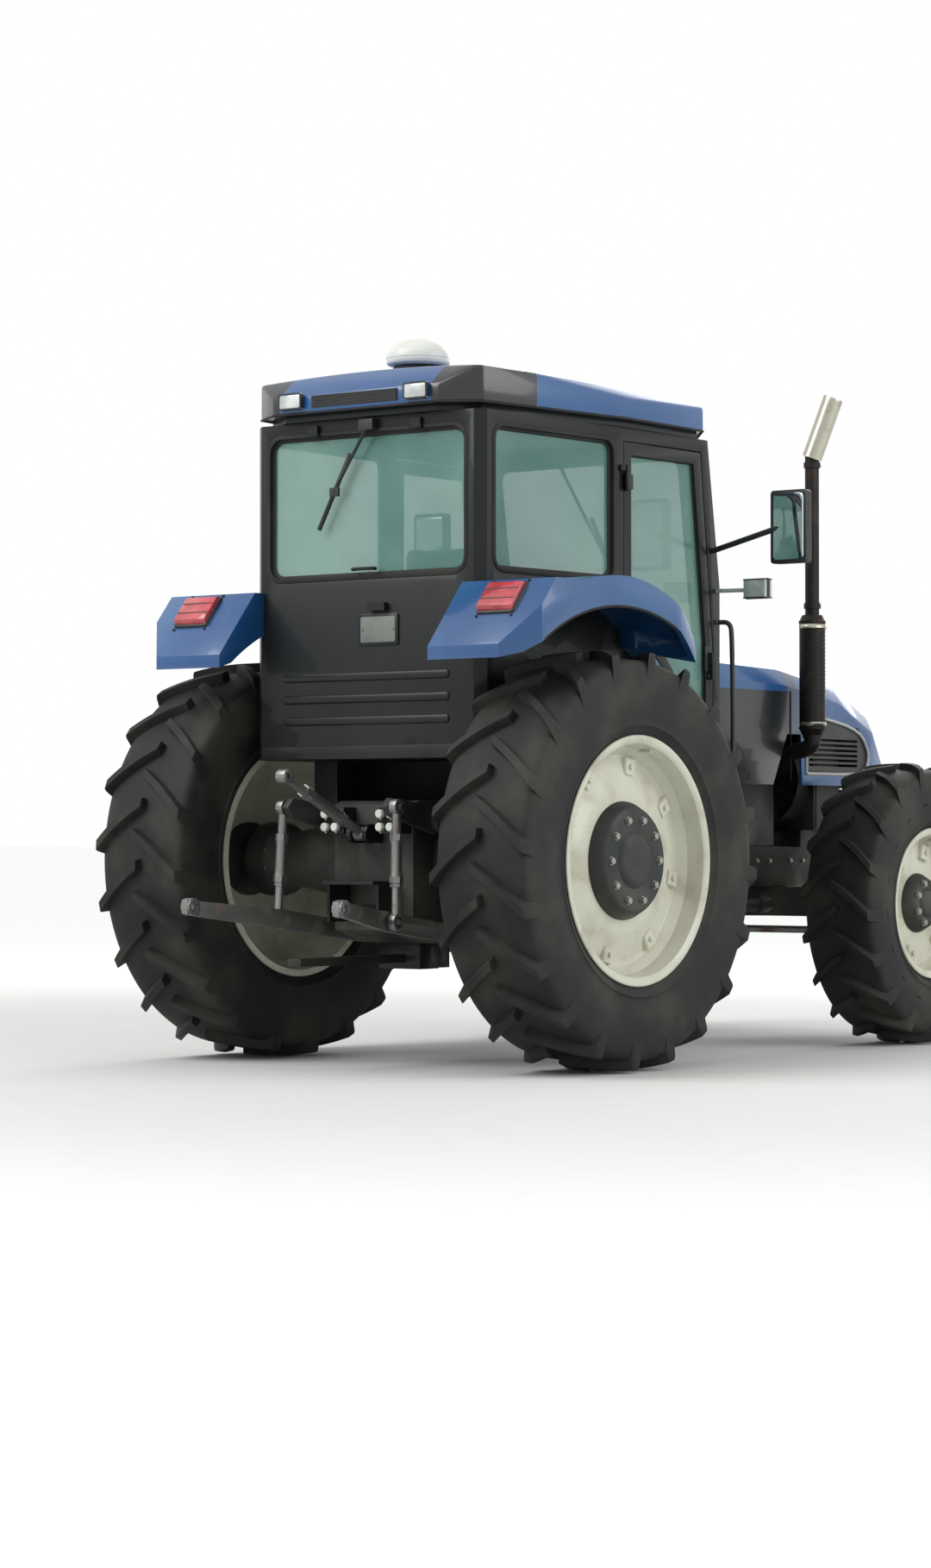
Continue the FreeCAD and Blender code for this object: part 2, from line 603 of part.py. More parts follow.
def cab_floor():
    """The stepped floor: low at the pedals, raised over the rear axle under the seat."""
    thick = CAB_FLOOR_THICK
    profile = side_prism([
        (CAB_REAR_X, CAB_REAR_FLOOR_Z - thick), (CAB_STEP_X, CAB_REAR_FLOOR_Z - thick),
        (CAB_STEP_X, CAB_FLOOR_Z - thick), (CAB_FRONT_FOOT_X, CAB_FLOOR_Z - thick),
        (CAB_FRONT_FOOT_X, CAB_FLOOR_Z), (CAB_STEP_X + thick, CAB_FLOOR_Z),
        (CAB_STEP_X + thick, CAB_REAR_FLOOR_Z), (CAB_REAR_X, CAB_REAR_FLOOR_Z),
    ], -1000, 1000)
    return profile.common(plan_prism(cab_outline(0), 1000, 1600))


def door(left):
    slab = side_prism(door_outline(0), CAB_HALF - DOOR_THICK, CAB_HALF)
    hole = side_prism(door_outline(-DOOR_FRAME), 0, 1000)
    frame = slab.cut(hole)
    shapes = [frame]
    for z in HINGE_LEVELS:
        shapes.append(bar((HINGE_X, HINGE_Y, z - 45), (HINGE_X, HINGE_Y, z + 45), HINGE_RADIUS))
        shapes.append(box(HINGE_X, HINGE_X + 50, CAB_HALF - 1, HINGE_Y, z - 35, z + 35))
    grip_x = CAB_FRONT_FOOT_X - CAB_CORNER - FRONT_POST - 42
    handle = box(grip_x, grip_x + 26, CAB_HALF - 1, CAB_HALF + 28, 1800, 1930)
    frame = fused(shapes + [handle])
    return frame if left else mirrored(frame)


def door_glass(left):
    middle = CAB_HALF - DOOR_THICK / 2
    pane = side_prism(door_outline(-DOOR_FRAME), middle - GLASS / 2, middle + GLASS / 2)
    return pane if left else mirrored(pane)


def roof_outline(inset):
    half = [
        (ROOF_REAR_X + inset, 480 - inset), (ROOF_REAR_X + 110 + inset, 650 - inset),
        (POST_B_X, 765 - inset), (ROOF_FRONT_X - 230, 745 - inset), (ROOF_FRONT_X - inset, 560 - inset),
    ]
    return half + [(x, -y) for x, y in reversed(half)]


def roof_cap():
    """A shallow crowned cap with bevelled shoulders."""
    plan = plan_prism(roof_outline(0), ROOF_BRIM_Z, ROOF_TOP_Z)
    half, edge, shoulder = 770, ROOF_TOP_Z - 95, ROOF_TOP_Z - 28
    crown = end_prism([
        (-half, ROOF_BRIM_Z), (half, ROOF_BRIM_Z), (half, edge), (half - 90, shoulder),
        ((0, ROOF_TOP_Z), (-half + 90, shoulder)), (-half, edge),
    ], ROOF_REAR_X - 100, ROOF_FRONT_X + 100)
    ends = side_prism([
        (ROOF_REAR_X, ROOF_BRIM_Z), (ROOF_REAR_X, edge - 10), (ROOF_REAR_X + 120, ROOF_TOP_Z),
        (ROOF_FRONT_X - 160, ROOF_TOP_Z), (ROOF_FRONT_X, edge - 20), (ROOF_FRONT_X, ROOF_BRIM_Z),
    ], -half, half)
    return plan.common(crown).common(ends)


# Fenders


def fender_side():
    """The fender seen from its side: an arc over the tyre that falls to its nose, and a sloping tail."""
    x0, z0 = REAR_AXLE_X, REAR_AXLE_Z
    top, lip = FENDER_TOP_RADIUS, FENDER_LIP_RADIUS
    nose_turn, rear_turn, arc_start, arc_end = 51, 127, 88, 103
    lip_turn = (nose_turn + rear_turn) / 2

    def on(radius, degrees):
        a = math.radians(degrees)
        return (x0 + radius * math.cos(a), z0 + radius * math.sin(a))

    nose = on(lip, nose_turn)
    return [
        nose, (nose[0], FENDER_NOSE_TOP), (on(top - 28, (62 + arc_start) / 2 - 4), on(top, arc_start)),
        (on(top, (arc_start + arc_end) / 2), on(top, arc_end)), TAIL_TOP, TAIL_FOOT,
        (TAIL_FOOT[0], TAIL_FOOT[1] - TAIL_EDGE), on(lip, rear_turn), (on(lip, lip_turn), nose),
    ]


def fenders():
    """Arches over the tyres: deep with an outer skirt beside the cab, a thin sheet ahead of the door hinge."""
    x0, z0, sheet = REAR_AXLE_X, REAR_AXLE_Z, FENDER_SHEET
    inner_y, outer_y = CAB_REAR_HALF - 60, FENDER_OUTER_Y
    floor, over = 1000, z0 + FENDER_TOP_RADIUS + 100
    door_line = HINGE_X - 14
    lean = 1 / math.tan(math.radians(DOOR_OPEN))

    def plan(inset):
        y1, y2, y3 = outer_y - inset, outer_y - 70 - inset, outer_y - 340 - inset
        return plan_prism([
            (x0 - 1000, 0), (x0 - 1000, y3), (x0 - 620, y1), (x0 + 450, y1),
            (door_line + (y2 - HINGE_Y) * lean - inset, y2), (door_line - inset, HINGE_Y), (door_line - inset, 0),
        ], floor, over)

    side = side_prism(fender_side(), inner_y, outer_y)
    hollow = side.translated(V(sheet * 0.4, 0, -sheet))
    skirt = side.common(plan(0)).cut(plan(FENDER_SKIRT))
    web = side.common(box(x0 - 1200, x0 + 1200, inner_y, inner_y + FENDER_SKIRT, floor, over))
    deep = fused([side.common(plan(0)).cut(hollow), skirt, web.common(plan(0))])

    def on(degrees, radius):
        a = math.radians(degrees)
        return (x0 + radius * math.cos(a), z0 + radius * math.sin(a))

    low, high, foot_turn, head_turn = FENDER_RADIUS, FENDER_RADIUS + sheet, 17, 64
    middle = (foot_turn + head_turn) / 2
    front = side_prism([
        on(foot_turn, low), on(foot_turn, high), (on(middle, high), on(head_turn, high)),
        on(head_turn, low), (on(middle, low), on(foot_turn, low)),
    ], inner_y, FENDER_FRONT_Y).common(box(door_line - FENDER_SKIRT, x0 + 1300, 0, 2000, floor, over))
    riser = box(door_line - FENDER_SKIRT, door_line, inner_y, FENDER_FRONT_Y, z0 + 900, over).common(side)
    shape = fused([deep, front, riser]).cut(cab_body(0, CAB_FLOOR_Z - 100, CAB_TOP_Z))
    return Part.makeCompound(pair(fused([max(shape.Solids, key=lambda s: s.Volume)])))


def tail_lamps():
    """Lamp blocks seated on the sloping rear face of the fender tails."""
    (x0, z0), (x1, z1) = TAIL_TOP, TAIL_FOOT
    length = math.hypot(x1 - x0, z1 - z0)
    along = ((x1 - x0) / length, (z1 - z0) / length)

    def on_tail(down, out):
        return (x0 + along[0] * down + along[1] * out, z0 + along[1] * down - along[0] * out)

    outline = [on_tail(30, SEAT_GAP), on_tail(45, 34), on_tail(185, 34), on_tail(200, SEAT_GAP)]
    return Part.makeCompound(pair(side_prism(outline, LAMP_Y - 95, LAMP_Y + 95)))


# Hood and nose


def hood_body(inset):
    """The hood's outside, or with an inset its inside, between upright sections."""
    over = HOOD_SHEET + MOVING_GAP if inset else 0
    rings = []
    for name, x, half, top in HOOD_SECTIONS:
        x -= {"rear": over, "nose": inset}.get(name, 0)
        half, top, bottom = half - inset, top - inset, HOOD_CHIN_Z - over
        side = [(half, bottom), (half, top - 120), (half - 38, top - 42), (half - 125, top)]
        rings.append([V(x, y, z) for y, z in side + [(-y, z) for y, z in reversed(side)]])
    faces = [polygon(rings[0]), polygon(rings[-1])]
    for here, there in zip(rings, rings[1:]):
        for i in range(len(here)):
            faces += patch([here[i - 1], here[i], there[i], there[i - 1]])
    skirt_cut = box(HOOD_REAR_X - 100, NOSE_LOW_X + inset, -600, 600, 900, HOOD_SKIRT_Z - over)
    return solid_of(faces).cut(skirt_cut)


def side_vent(grow):
    """The opening for a louvred panel in each side of the hood, or with some growth the hole for it."""
    x0, x1, g = VENT_REAR_X, VENT_FRONT_X, grow
    outline = [
        (x0 - g, VENT_BOTTOM - g), (x0 - g, VENT_TOP - 40), (x0 + 40, VENT_TOP + g), (x1 - 110, VENT_TOP - 60 + g),
        (x1 + g, VENT_TOP - 170), (x1 + g, VENT_BOTTOM + 60), (x1 - 60, VENT_BOTTOM - g),
    ]
    return side_prism(outline, -HOOD_HALF - 50, HOOD_HALF + 50).cut(
        box(x0 - 100, x1 + 100, -HOOD_NOSE_HALF + 40, HOOD_NOSE_HALF - 40, 900, 2100))


def hood():
    shell = hood_body(0).cut(hood_body(HOOD_SHEET))
    half = GRILLE_HALF
    mouth = box(HOOD_NOSE_X - 120, HOOD_NOSE_X + 50, -half, half, GRILLE_BOTTOM, GRILLE_TOP)
    shell = shell.cut([mouth, side_vent(SEAT_GAP)] + pair(headlamp(SEAT_GAP)))
    notch = side_prism([
        (STACK_X - 70, STACK_FOOT_Z + 10), (STACK_X + 70, STACK_FOOT_Z + 10),
        (STACK_X + 80, HOOD_SKIRT_Z - 10), (STACK_X - 210, HOOD_SKIRT_Z - 10),
    ], -500, -200)
    shell = shell.cut(notch)
    x, z = HOOD_HINGE
    lugs = []
    for side in (-1, 1):
        y0, y1 = sorted((side * HOOD_LUG_Y, side * (HOOD_LUG_Y + HOOD_LUG_WIDTH)))
        lug = fused([box(x - 26, x + 26, y0, y1, z, HOOD_REAR_TOP), bar((x, y0, z), (x, y1, z), 26)])
        lugs.append(lug.cut(rod((x, -400, z), (x, 400, z), HOOD_PIN_RADIUS + PIN_FIT)).common(hood_body(4)))
    return fused([shell] + lugs)


def grille():
    """Bars in the hood's mouth, and the louvred panels let into its sides."""
    z0, z1, half = GRILLE_BOTTOM + SEAT_GAP, GRILLE_TOP - SEAT_GAP, GRILLE_HALF - SEAT_GAP
    x0, x1 = HOOD_NOSE_X - 26, HOOD_NOSE_X - 4
    bars = pair(box(x0, x1, half - 24, half, z0, z1))
    count = 7
    for number in range(count):
        z = z0 + number * (z1 - z0 - 14) / (count - 1)
        bars.append(box(x0, x1, -half, half, z, z + 14))
    bars.append(box(x0, x1, -10, 10, z0, z1))
    panels = hood_body(4).cut(hood_body(HOOD_SHEET)).common(side_vent(0))
    slots = []
    slot_count = 6
    pitch = (VENT_TOP - VENT_BOTTOM - 150) / slot_count
    for number in range(slot_count):
        z = VENT_BOTTOM + 40 + number * pitch
        slots.append(box(VENT_REAR_X + 40, VENT_FRONT_X - 110, -500, 500, z, z + pitch * 0.5))
    panels = panels.cut(slots)
    return Part.makeCompound([fused(bars)] + panels.Solids)


def headlamp(grow):
    """One lamp let into the nose above the mouth, or with some growth the hole for it."""
    z = GRILLE_TOP + 20
    return box(HOOD_NOSE_X - 30 - grow, HOOD_NOSE_X + 6 + grow, 60 - grow, 200 + grow, z - grow, z + 75 + grow)


def headlamps():
    return Part.makeCompound(pair(headlamp(0)))


def exhaust():
    """The silencer stands beside the hood on its elbow from the engine; the bright tail leans outwards."""
    x, y, z = STACK_X, STACK_Y, STACK_FOOT_Z - 80
    elbow = bar((x, -FRAME_HALF - SEAT_GAP, z), (x, y - PIPE_RADIUS + 6, z), PIPE_RADIUS)
    neck = bar((x, y, z), (x, y, STACK_BEND_Z), PIPE_RADIUS - 8)
    silencer = faceted([
        (0, 0), (0, SILENCER_RADIUS - 26), (26, SILENCER_RADIUS), (SILENCER_LENGTH - 26, SILENCER_RADIUS),
        (SILENCER_LENGTH, SILENCER_RADIUS - 26), (SILENCER_LENGTH, 0),
    ], 16, (x, y, STACK_FOOT_Z), (0, 0, 1))
    lean = V(0.12, -0.35, 1)
    start = V(x, y, STACK_BEND_Z - 20)
    tail = bar(start, start + lean.normalize() * TAIL_LENGTH, TAIL_RADIUS)
    return fused([elbow, neck, silencer, tail])


# Fittings


def tanks():
    """Side tanks in front of the rear wheels, with the ladder steps that they carry."""
    shapes = []
    step_x = TANK_REAR_X + 20
    for side, length, bottom in ((1, 640, TANK_BOTTOM), (-1, 520, TANK_BOTTOM + 60)):
        tank = box(TANK_REAR_X, TANK_REAR_X + length, TANK_INNER_Y, TANK_OUTER_Y, bottom, TANK_TOP)
        tank = tank.makeFillet(50, [e for e in tank.Edges if runs_along(e, V(1, 0, 0))])
        pieces = [tank]
        for z, reach in ((470, STEP_DEPTH), (760, STEP_DEPTH - 20), (1030, STEP_DEPTH - 40)):
            pieces.append(box(step_x, step_x + 380, TANK_OUTER_Y + 1, TANK_OUTER_Y + reach, z, z + 30))
        for x in (step_x, step_x + 362):
            pieces.append(box(x, x + 18, TANK_OUTER_Y - 20, TANK_OUTER_Y + 25, 470, 1080))
        shape = fused(pieces)
        shapes.append(shape if side > 0 else mirrored(shape))
    return Part.makeCompound(shapes)


def seat():
    x = REAR_AXLE_X + 180
    cushion = box(x, x + 490, -250, 250, 1690, 1800)
    back = box(x - 90, x + 40, -240, 240, 1740, 2420)
    base = box(x - 60, x + 360, -170, 170, CAB_REAR_FLOOR_Z, 1695)
    base = base.cut(box(CAB_STEP_X + CAB_FLOOR_THICK + 130, x + 500, -300, 300, 1300, 1560))
    cushion = cushion.makeFillet(40, [e for e in cushion.Edges if runs_along(e, V(0, 1, 0))])
    back = back.makeFillet(40, [e for e in back.Edges if runs_along(e, V(0, 1, 0))])
    return fused([cushion, back, base])


def controls():
    """The dash with its column and steering wheel, and the side console beside the seat."""
    dash_x = CAB_FRONT_FOOT_X - 280
    dash = box(dash_x, dash_x + 190, -DASH_HALF, DASH_HALF, CAB_FLOOR_Z, 1870)
    console_x = REAR_AXLE_X + 120
    outer = CAB_REAR_HALF - CAB_WALL - 49
    console = box(console_x, console_x + 120, -outer, -outer + 230, CAB_REAR_FLOOR_Z, 1930)
    rest = box(console_x, console_x + 460, -outer + 40, -outer + 220, 1840, 1930)
    hub_point = V(dash_x - 180, 0, 2060)
    axis = V(-0.55, 0, 0.835)
    section = [(0, 190), (15, 205), (0, 220), (-15, 205)]
    ring = faceted(section, 20, hub_point, axis)
    column = bar(hub_point - axis * 420, hub_point, 32)
    spokes = []
    for turn in (0, 90):
        arm = box(-195, 195, -14, 14, -9, 9)
        arm.rotate(V(0, 0, 0), V(0, 0, 1), turn)
        arm.rotate(V(0, 0, 0), V(0, 1, 0), -math.degrees(math.atan2(0.55, 0.835)))
        spokes.append(arm.translated(hub_point))
    front = fused([dash, column, ring] + spokes)
    return Part.makeCompound([front, fused([console, rest])])


def work_lamps():
    """Work lamps let into the roof's ends, and the marker lamps on arms at the front posts."""
    lamps = []
    for x0, x1, y in ((ROOF_REAR_X - 22, ROOF_REAR_X, 300), (ROOF_FRONT_X, ROOF_FRONT_X + 22, 380)):
        lamps.append(box(x0, x1, y, y + 130, ROOF_BRIM_Z + 20, ROOF_BRIM_Z + 90))
    post_x = CAB_FRONT_FOOT_X - CAB_CORNER - 30
    arm = bar((post_x, CAB_HALF, 2230), (post_x + 40, CAB_HALF + 215, 2230), 11, 8)
    head = box(post_x + 10, post_x + 75, CAB_HALF + 150, CAB_HALF + 270, 2190, 2280)
    lamps.append(fused([arm, head]).cut(cab_body(-SEAT_GAP, CAB_FLOOR_Z, CAB_TOP_Z)))
    return Part.makeCompound([s for lamp in lamps for s in pair(lamp)])


def wipers():
    """Rear and front wipers hung from the top rails, each a motor boss, an arm and a blade by the glass."""
    rear_x = CAB_REAR_X - 12
    rear = fused([
        box(rear_x - 26, CAB_REAR_X - SEAT_GAP, -70, 10, WINDOW_TOP_Z + 5, WINDOW_TOP_Z + 55),
        bar((rear_x - 8, -30, WINDOW_TOP_Z + 25), (rear_x - 8, 170, 2620), 8, 8),
        bar((rear_x, 80, 2790), (rear_x, 262, 2452), 11, 8),
        box(rear_x - 14, rear_x, 140, 190, 2600, 2640),
    ])
    slope = (CAB_FRONT_FOOT_X - CAB_FRONT_TOP_X) / (CAB_TOP_Z - WINDSCREEN_SILL_Z + 40)

    def at(z, out):
        return CAB_FRONT_TOP_X + (CAB_TOP_Z - z) * slope + out

    high, low = WINDOW_TOP_Z + 25, 2380
    front = fused([
        box(at(high, -10), at(high, 40), 180, 260, high - 25, high + 25),
        bar((at(high, 34), 220, high), (at(low, 34), -40, low), 9, 8),
        bar((at(2620, 14), 30, 2620), (at(2200, 14), -130, 2200), 11, 8),
        bar((at(low + 30, 14), -30, low + 30), (at(low + 30, 38), -30, low + 30), 14, 8),
    ])
    return Part.makeCompound([rear, front.cut(cab_body(-SEAT_GAP, CAB_FLOOR_Z, CAB_TOP_Z))])


def roof_dome():
    """The receiver on the roof: a round foot and a low dome."""
    foot = ROOF_TOP_Z - 8
    profile = [(0, 0), (0, 110), (60, 120), (70, 148), (110, 148), (158, 118), (182, 60), (190, 0)]
    return faceted(profile, 20, (DOME_X, 0, foot), (0, 0, 1)).cut(roof_cap())


def mirrors():
    root = (CAB_FRONT_TOP_X + 40, CAB_HALF, 2420)
    tip = (CAB_FRONT_FOOT_X - 40, 1080, 2540)
    arm = bar(root, tip, 14, 8)
    head = box(tip[0] - 25, tip[0] + 25, 985, 1185, 2350, 2700)
    head = head.makeFillet(18, [e for e in head.Edges if runs_along(e, V(1, 0, 0))])
    return Part.makeCompound(pair(fused([arm, head]).cut(cab_body(-SEAT_GAP, CAB_FLOOR_Z, CAB_TOP_Z))))


# Rear linkage


def lower_links():
    px, pz = LINK_PIVOT
    ex, ez = LINK_END
    mx, mz = LINK_PIN
    plan = plan_prism([
        (px + 45, LINK_ROOT_Y - 16), (mx - 60, LINK_ROOT_Y + 14), (ex + 40, LINK_END_Y - 17),
        (ex - 40, LINK_END_Y - 17), (ex - 40, LINK_END_Y + 17), (ex + 40, LINK_END_Y + 17),
        (mx - 60, LINK_ROOT_Y + 48), (px + 45, LINK_ROOT_Y + 16),
    ], 400, 900)
    shape = side_prism([
        (px + 45, pz - 40), (px + 45, pz + 40), (mx, mz + 45), (ex - 40, ez + 32), (ex - 40, ez - 32), (mx, mz - 45),
    ], 0, 600)
    link = plan.common(shape)
    link = fused([
        link,
        bar((ex, LINK_END_Y - 24, ez), (ex, LINK_END_Y + 24, ez), 40),
        rod((mx, LINK_ROOT_Y + 40, mz), (mx, ARM_Y + 34, mz), LINK_PIN_RADIUS),
    ])
    link = link.cut(rod((ex, 300, ez), (ex, 600, ez), BALL_BORE))
    link = link.cut(rod((px, 100, pz), (px, 500, pz), LINK_PIVOT_RADIUS + PIN_FIT))
    return Part.makeCompound(pair(link))


def lift_arms():
    sx, sz = ROCKSHAFT
    ax, az = ARM_PIN
    shaft = bar((sx, HOUSING_HALF + SEAT_GAP, sz), (sx, ARM_Y + 8, sz), 55)
    arm = side_prism([
        (sx + 60, sz - 40), (sx + 20, sz + 62), (ax, az + 40), (ax - 38, az), (ax, az - 40), (sx - 10, sz - 62),
    ], ARM_Y - 60, ARM_Y - 26)
    pin = rod((ax, ARM_Y - 40, az), (ax, ARM_Y + 34, az), LINK_PIN_RADIUS)
    return Part.makeCompound(pair(fused([shaft, arm, pin])))


def lift_rods():
    ax, az = ARM_PIN
    mx, mz = LINK_PIN
    rods = fused([
        bar((ax, ARM_Y - 18, az), (ax, ARM_Y + 18, az), 36),
        bar((mx, ARM_Y - 4, mz), (mx, ARM_Y + 30, mz), 40),
        bar((ax, ARM_Y, az), (mx, ARM_Y + 13, mz), 20),
    ])
    rods = rods.cut(rod((ax, 0, az), (ax, 600, az), LINK_PIN_RADIUS + PIN_FIT))
    rods = rods.cut(rod((mx, 0, mz), (mx, 600, mz), LIFT_EYE_RADIUS))
    return Part.makeCompound(pair(rods))


def hitch_frame():
    """What is bolted to the rear housing: drawbar and hanger, link pins, shaft guard, valves, link bracket."""
    px, pz = LINK_PIVOT
    x, z = HOUSING_REAR_X, DRAWBAR_Z
    drawbar = box(x - 560, REAR_AXLE_X + 100, -38, 38, z, z + 36)
    drawbar = drawbar.cut(Part.makeCylinder(DRAWBAR_BORE, 200, V(x - 510, 0, z - 50), V(0, 0, 1)))
    hanger = box(REAR_AXLE_X - 200, REAR_AXLE_X - 60, -120, 120, z - 30, HOUSING_BOTTOM)
    hanger = hanger.fuse(box(REAR_AXLE_X + 20, REAR_AXLE_X + 100, -60, 60, z - 30, HOUSING_BOTTOM))
    shapes = [drawbar, hanger]
    for side in (-1, 1):
        shapes.append(rod((px, side * HOUSING_HALF, pz), (px, side * (LINK_ROOT_Y + 40), pz), LINK_PIVOT_RADIUS))
    frame = fused(shapes)
    foot_x, foot_z = TOP_LINK_FOOT
    cheek = fused([
        box(foot_x, x, 34, 58, foot_z - 42, foot_z + 42),
        bar((foot_x, 34, foot_z), (foot_x, 58, foot_z), 45),
    ])
    pin = rod((foot_x, -58, foot_z), (foot_x, 58, foot_z), TOP_PIN_RADIUS)
    bracket = fused(pair(cheek) + [pin])
    guard = fused([box(x - 190, x, -150, 150, PTO_Z + 110, PTO_Z + 126)] + pair(
        box(x - 150, x, 134, 150, PTO_Z - 60, PTO_Z + 126)))
    valves = pair(box(x - 90, x, 100, 220, 1060, 1180))
    return Part.makeCompound([frame, bracket, guard] + valves)


def top_link():
    """The upper link, left pointing back and a little up."""
    rise = math.radians(TOP_LINK_RISE)
    foot = (TOP_LINK_FOOT[0], 0, TOP_LINK_FOOT[1])
    head = (foot[0] - TOP_LINK_LENGTH * math.cos(rise), 0, foot[2] + TOP_LINK_LENGTH * math.sin(rise))
    body = fused([
        bar(foot, head, 22),
        bar((foot[0], -28, foot[2]), (foot[0], 28, foot[2]), 32),
        bar((head[0], -25, head[2]), (head[0], 25, head[2]), 32),
    ])
    body = body.cut(rod((foot[0], -50, foot[2]), (foot[0], 50, foot[2]), TOP_PIN_RADIUS + PIN_FIT))
    return body.cut(rod((head[0], -50, head[2]), (head[0], 50, head[2]), TOP_LINK_BORE))


def pto_shaft():
    return rod((HOUSING_REAR_X - PTO_LENGTH, 0, PTO_Z), (HOUSING_REAR_X - SEAT_GAP, 0, PTO_Z), PTO_RADIUS)


def wheels():
    made = {}
    rear_tyre, front_tyre = tyre(REAR_WHEEL), tyre(FRONT_WHEEL)
    for name, w, carcass, x, y in (
        ("rear", REAR_WHEEL, rear_tyre, REAR_AXLE_X, REAR_TRACK_HALF),
        ("front", FRONT_WHEEL, front_tyre, FRONT_AXLE_X, FRONT_TRACK_HALF),
    ):
        solids = {"tyre": carcass, "rim": rim(w), "hub": hub(w)}
        if name == "front":
            solids["rim"] = fused([solids["rim"], solids.pop("hub")])
        for side in ("left", "right"):
            for piece, shape in solids.items():
                made[f"{name}_{piece}_{side}"] = placed(shape, x, y, w["tip_radius"], side == "left")
    return made


PIECES = {
    "transmission": transmission, "rear_axle": rear_axle, "engine": engine,
    "front_support": front_support, "front_axle": front_axle, "tie_rod": tie_rod,
    "front_knuckle_left": lambda: front_knuckle(True), "front_knuckle_right": lambda: front_knuckle(False),
    "cab_frame": cab_frame, "cab_glass": cab_glass, "cab_floor": cab_floor,
    "door_left": lambda: door(True), "door_right": lambda: door(False),
    "door_glass_left": lambda: door_glass(True), "door_glass_right": lambda: door_glass(False),
    "roof_cap": roof_cap, "roof_dome": roof_dome,
    "fenders": fenders, "tail_lamps": tail_lamps,
    "hood": hood, "grille": grille, "headlamps": headlamps,
    "exhaust": exhaust, "tanks": tanks, "seat": seat, "controls": controls,
    "work_lamps": work_lamps, "mirrors": mirrors, "wipers": wipers,
    "lower_links": lower_links, "lift_arms": lift_arms, "lift_rods": lift_rods,
    "hitch_frame": hitch_frame, "top_link": top_link, "pto_shaft": pto_shaft,
}


def main():
    os.makedirs("parts", exist_ok=True)
    shapes = {name: make() for name, make in PIECES.items()}
    shapes.update(wheels())
    for name, shape in sorted(shapes.items()):
        if not shape.isValid() or shape.Volume <= 0:
            print("not sound:", name)
        shape.exportStep(f"parts/{name}.step")
    print(len(shapes), "pieces")


main()
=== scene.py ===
# %% [markdown]
# # A four-wheel-drive farm tractor
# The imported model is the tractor's frame: every plate, casting and pin is already there at its real
# size, in metres, with +X forward and +Z up. Blender adds what a drawing leaves out: the finish of each
# surface, round tyres with moulded bars, nuts, seals, lenses and a soft seat. Nothing of the frame is
# moved, so each new piece is built straight at its real place.

import json
import math

import bmesh
import bpy
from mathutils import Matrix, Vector
from mathutils.geometry import interpolate_bezier


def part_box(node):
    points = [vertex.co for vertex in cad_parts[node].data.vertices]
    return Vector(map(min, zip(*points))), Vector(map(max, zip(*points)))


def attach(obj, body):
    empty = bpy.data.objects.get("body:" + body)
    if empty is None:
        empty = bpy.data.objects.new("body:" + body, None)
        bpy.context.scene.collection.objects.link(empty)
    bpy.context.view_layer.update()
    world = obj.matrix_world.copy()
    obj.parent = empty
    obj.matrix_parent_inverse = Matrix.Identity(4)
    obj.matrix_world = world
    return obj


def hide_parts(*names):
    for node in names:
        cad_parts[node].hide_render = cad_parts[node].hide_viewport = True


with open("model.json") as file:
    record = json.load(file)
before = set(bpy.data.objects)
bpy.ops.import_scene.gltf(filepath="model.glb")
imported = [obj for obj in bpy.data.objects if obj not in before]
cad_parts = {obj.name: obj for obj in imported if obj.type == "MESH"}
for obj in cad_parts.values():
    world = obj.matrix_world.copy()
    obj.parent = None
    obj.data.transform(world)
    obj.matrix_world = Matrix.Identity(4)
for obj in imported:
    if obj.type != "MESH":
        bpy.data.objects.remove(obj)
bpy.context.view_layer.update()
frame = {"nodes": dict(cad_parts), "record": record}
nodes = frame["nodes"]
slots = {part["node"]: part["material_slot"] for part in frame["record"]["subparts"]}
scene = bpy.context.scene

# %% [markdown]
# ## The view
# The photograph was taken with a long lens from behind the tractor's right side, about a metre above
# the ground and some eighteen metres away. A camera at that spot with the same lens gives the same
# outline, so the tilt and the crop need no shift. It looks along a direction, which is steadier to
# write down than three angles: to_track_quat turns it into the camera's rotation.

# %% Place the camera
CAMERA_SPOT = (-14.624, -10.469, 1.06)
CAMERA_AIM = (0.79448, 0.60738, 0.01356)
LENS = 84.2
SENSOR_WIDTH = 36
FARTHEST_SEEN = 1000

camera = bpy.data.objects.new("Camera", bpy.data.cameras.new("Camera"))
scene.collection.objects.link(camera)
camera.location = CAMERA_SPOT
camera.rotation_euler = Vector(CAMERA_AIM).to_track_quat("-Z", "Y").to_euler()
camera.data.sensor_width = SENSOR_WIDTH
camera.data.lens = LENS
camera.data.clip_end = FARTHEST_SEEN
scene.camera = camera
scene.view_settings.view_transform = "Standard"
print("camera", CAMERA_SPOT, "lens", LENS)

# %% [markdown]
# ## Shader maths as plain sums
# A material is a graph of nodes, and wiring it by hand hides the idea behind it. Here a Wire stands for
# one socket, and the usual operators on it add Math nodes, so that a mask can be written as
# `1 - dust * patches`. Colours go through Mix nodes, because a Math node would turn them grey.

# %% Wire and Finish


class Wire:
    """A socket in a material, so that shader maths reads as a sum."""

    def __init__(self, finish, socket):
        self.finish = finish
        self.socket = socket

    def math(self, operation, *values):
        return self.finish.node("ShaderNodeMath", {"operation": operation}, dict(enumerate(values)))

    def __add__(self, other):
        return self.math("ADD", self, other)

    def __sub__(self, other):
        return self.math("SUBTRACT", self, other)

    def __rsub__(self, other):
        return self.math("SUBTRACT", other, self)

    def __mul__(self, other):
        return self.math("MULTIPLY", self, other)

    __radd__ = __add__


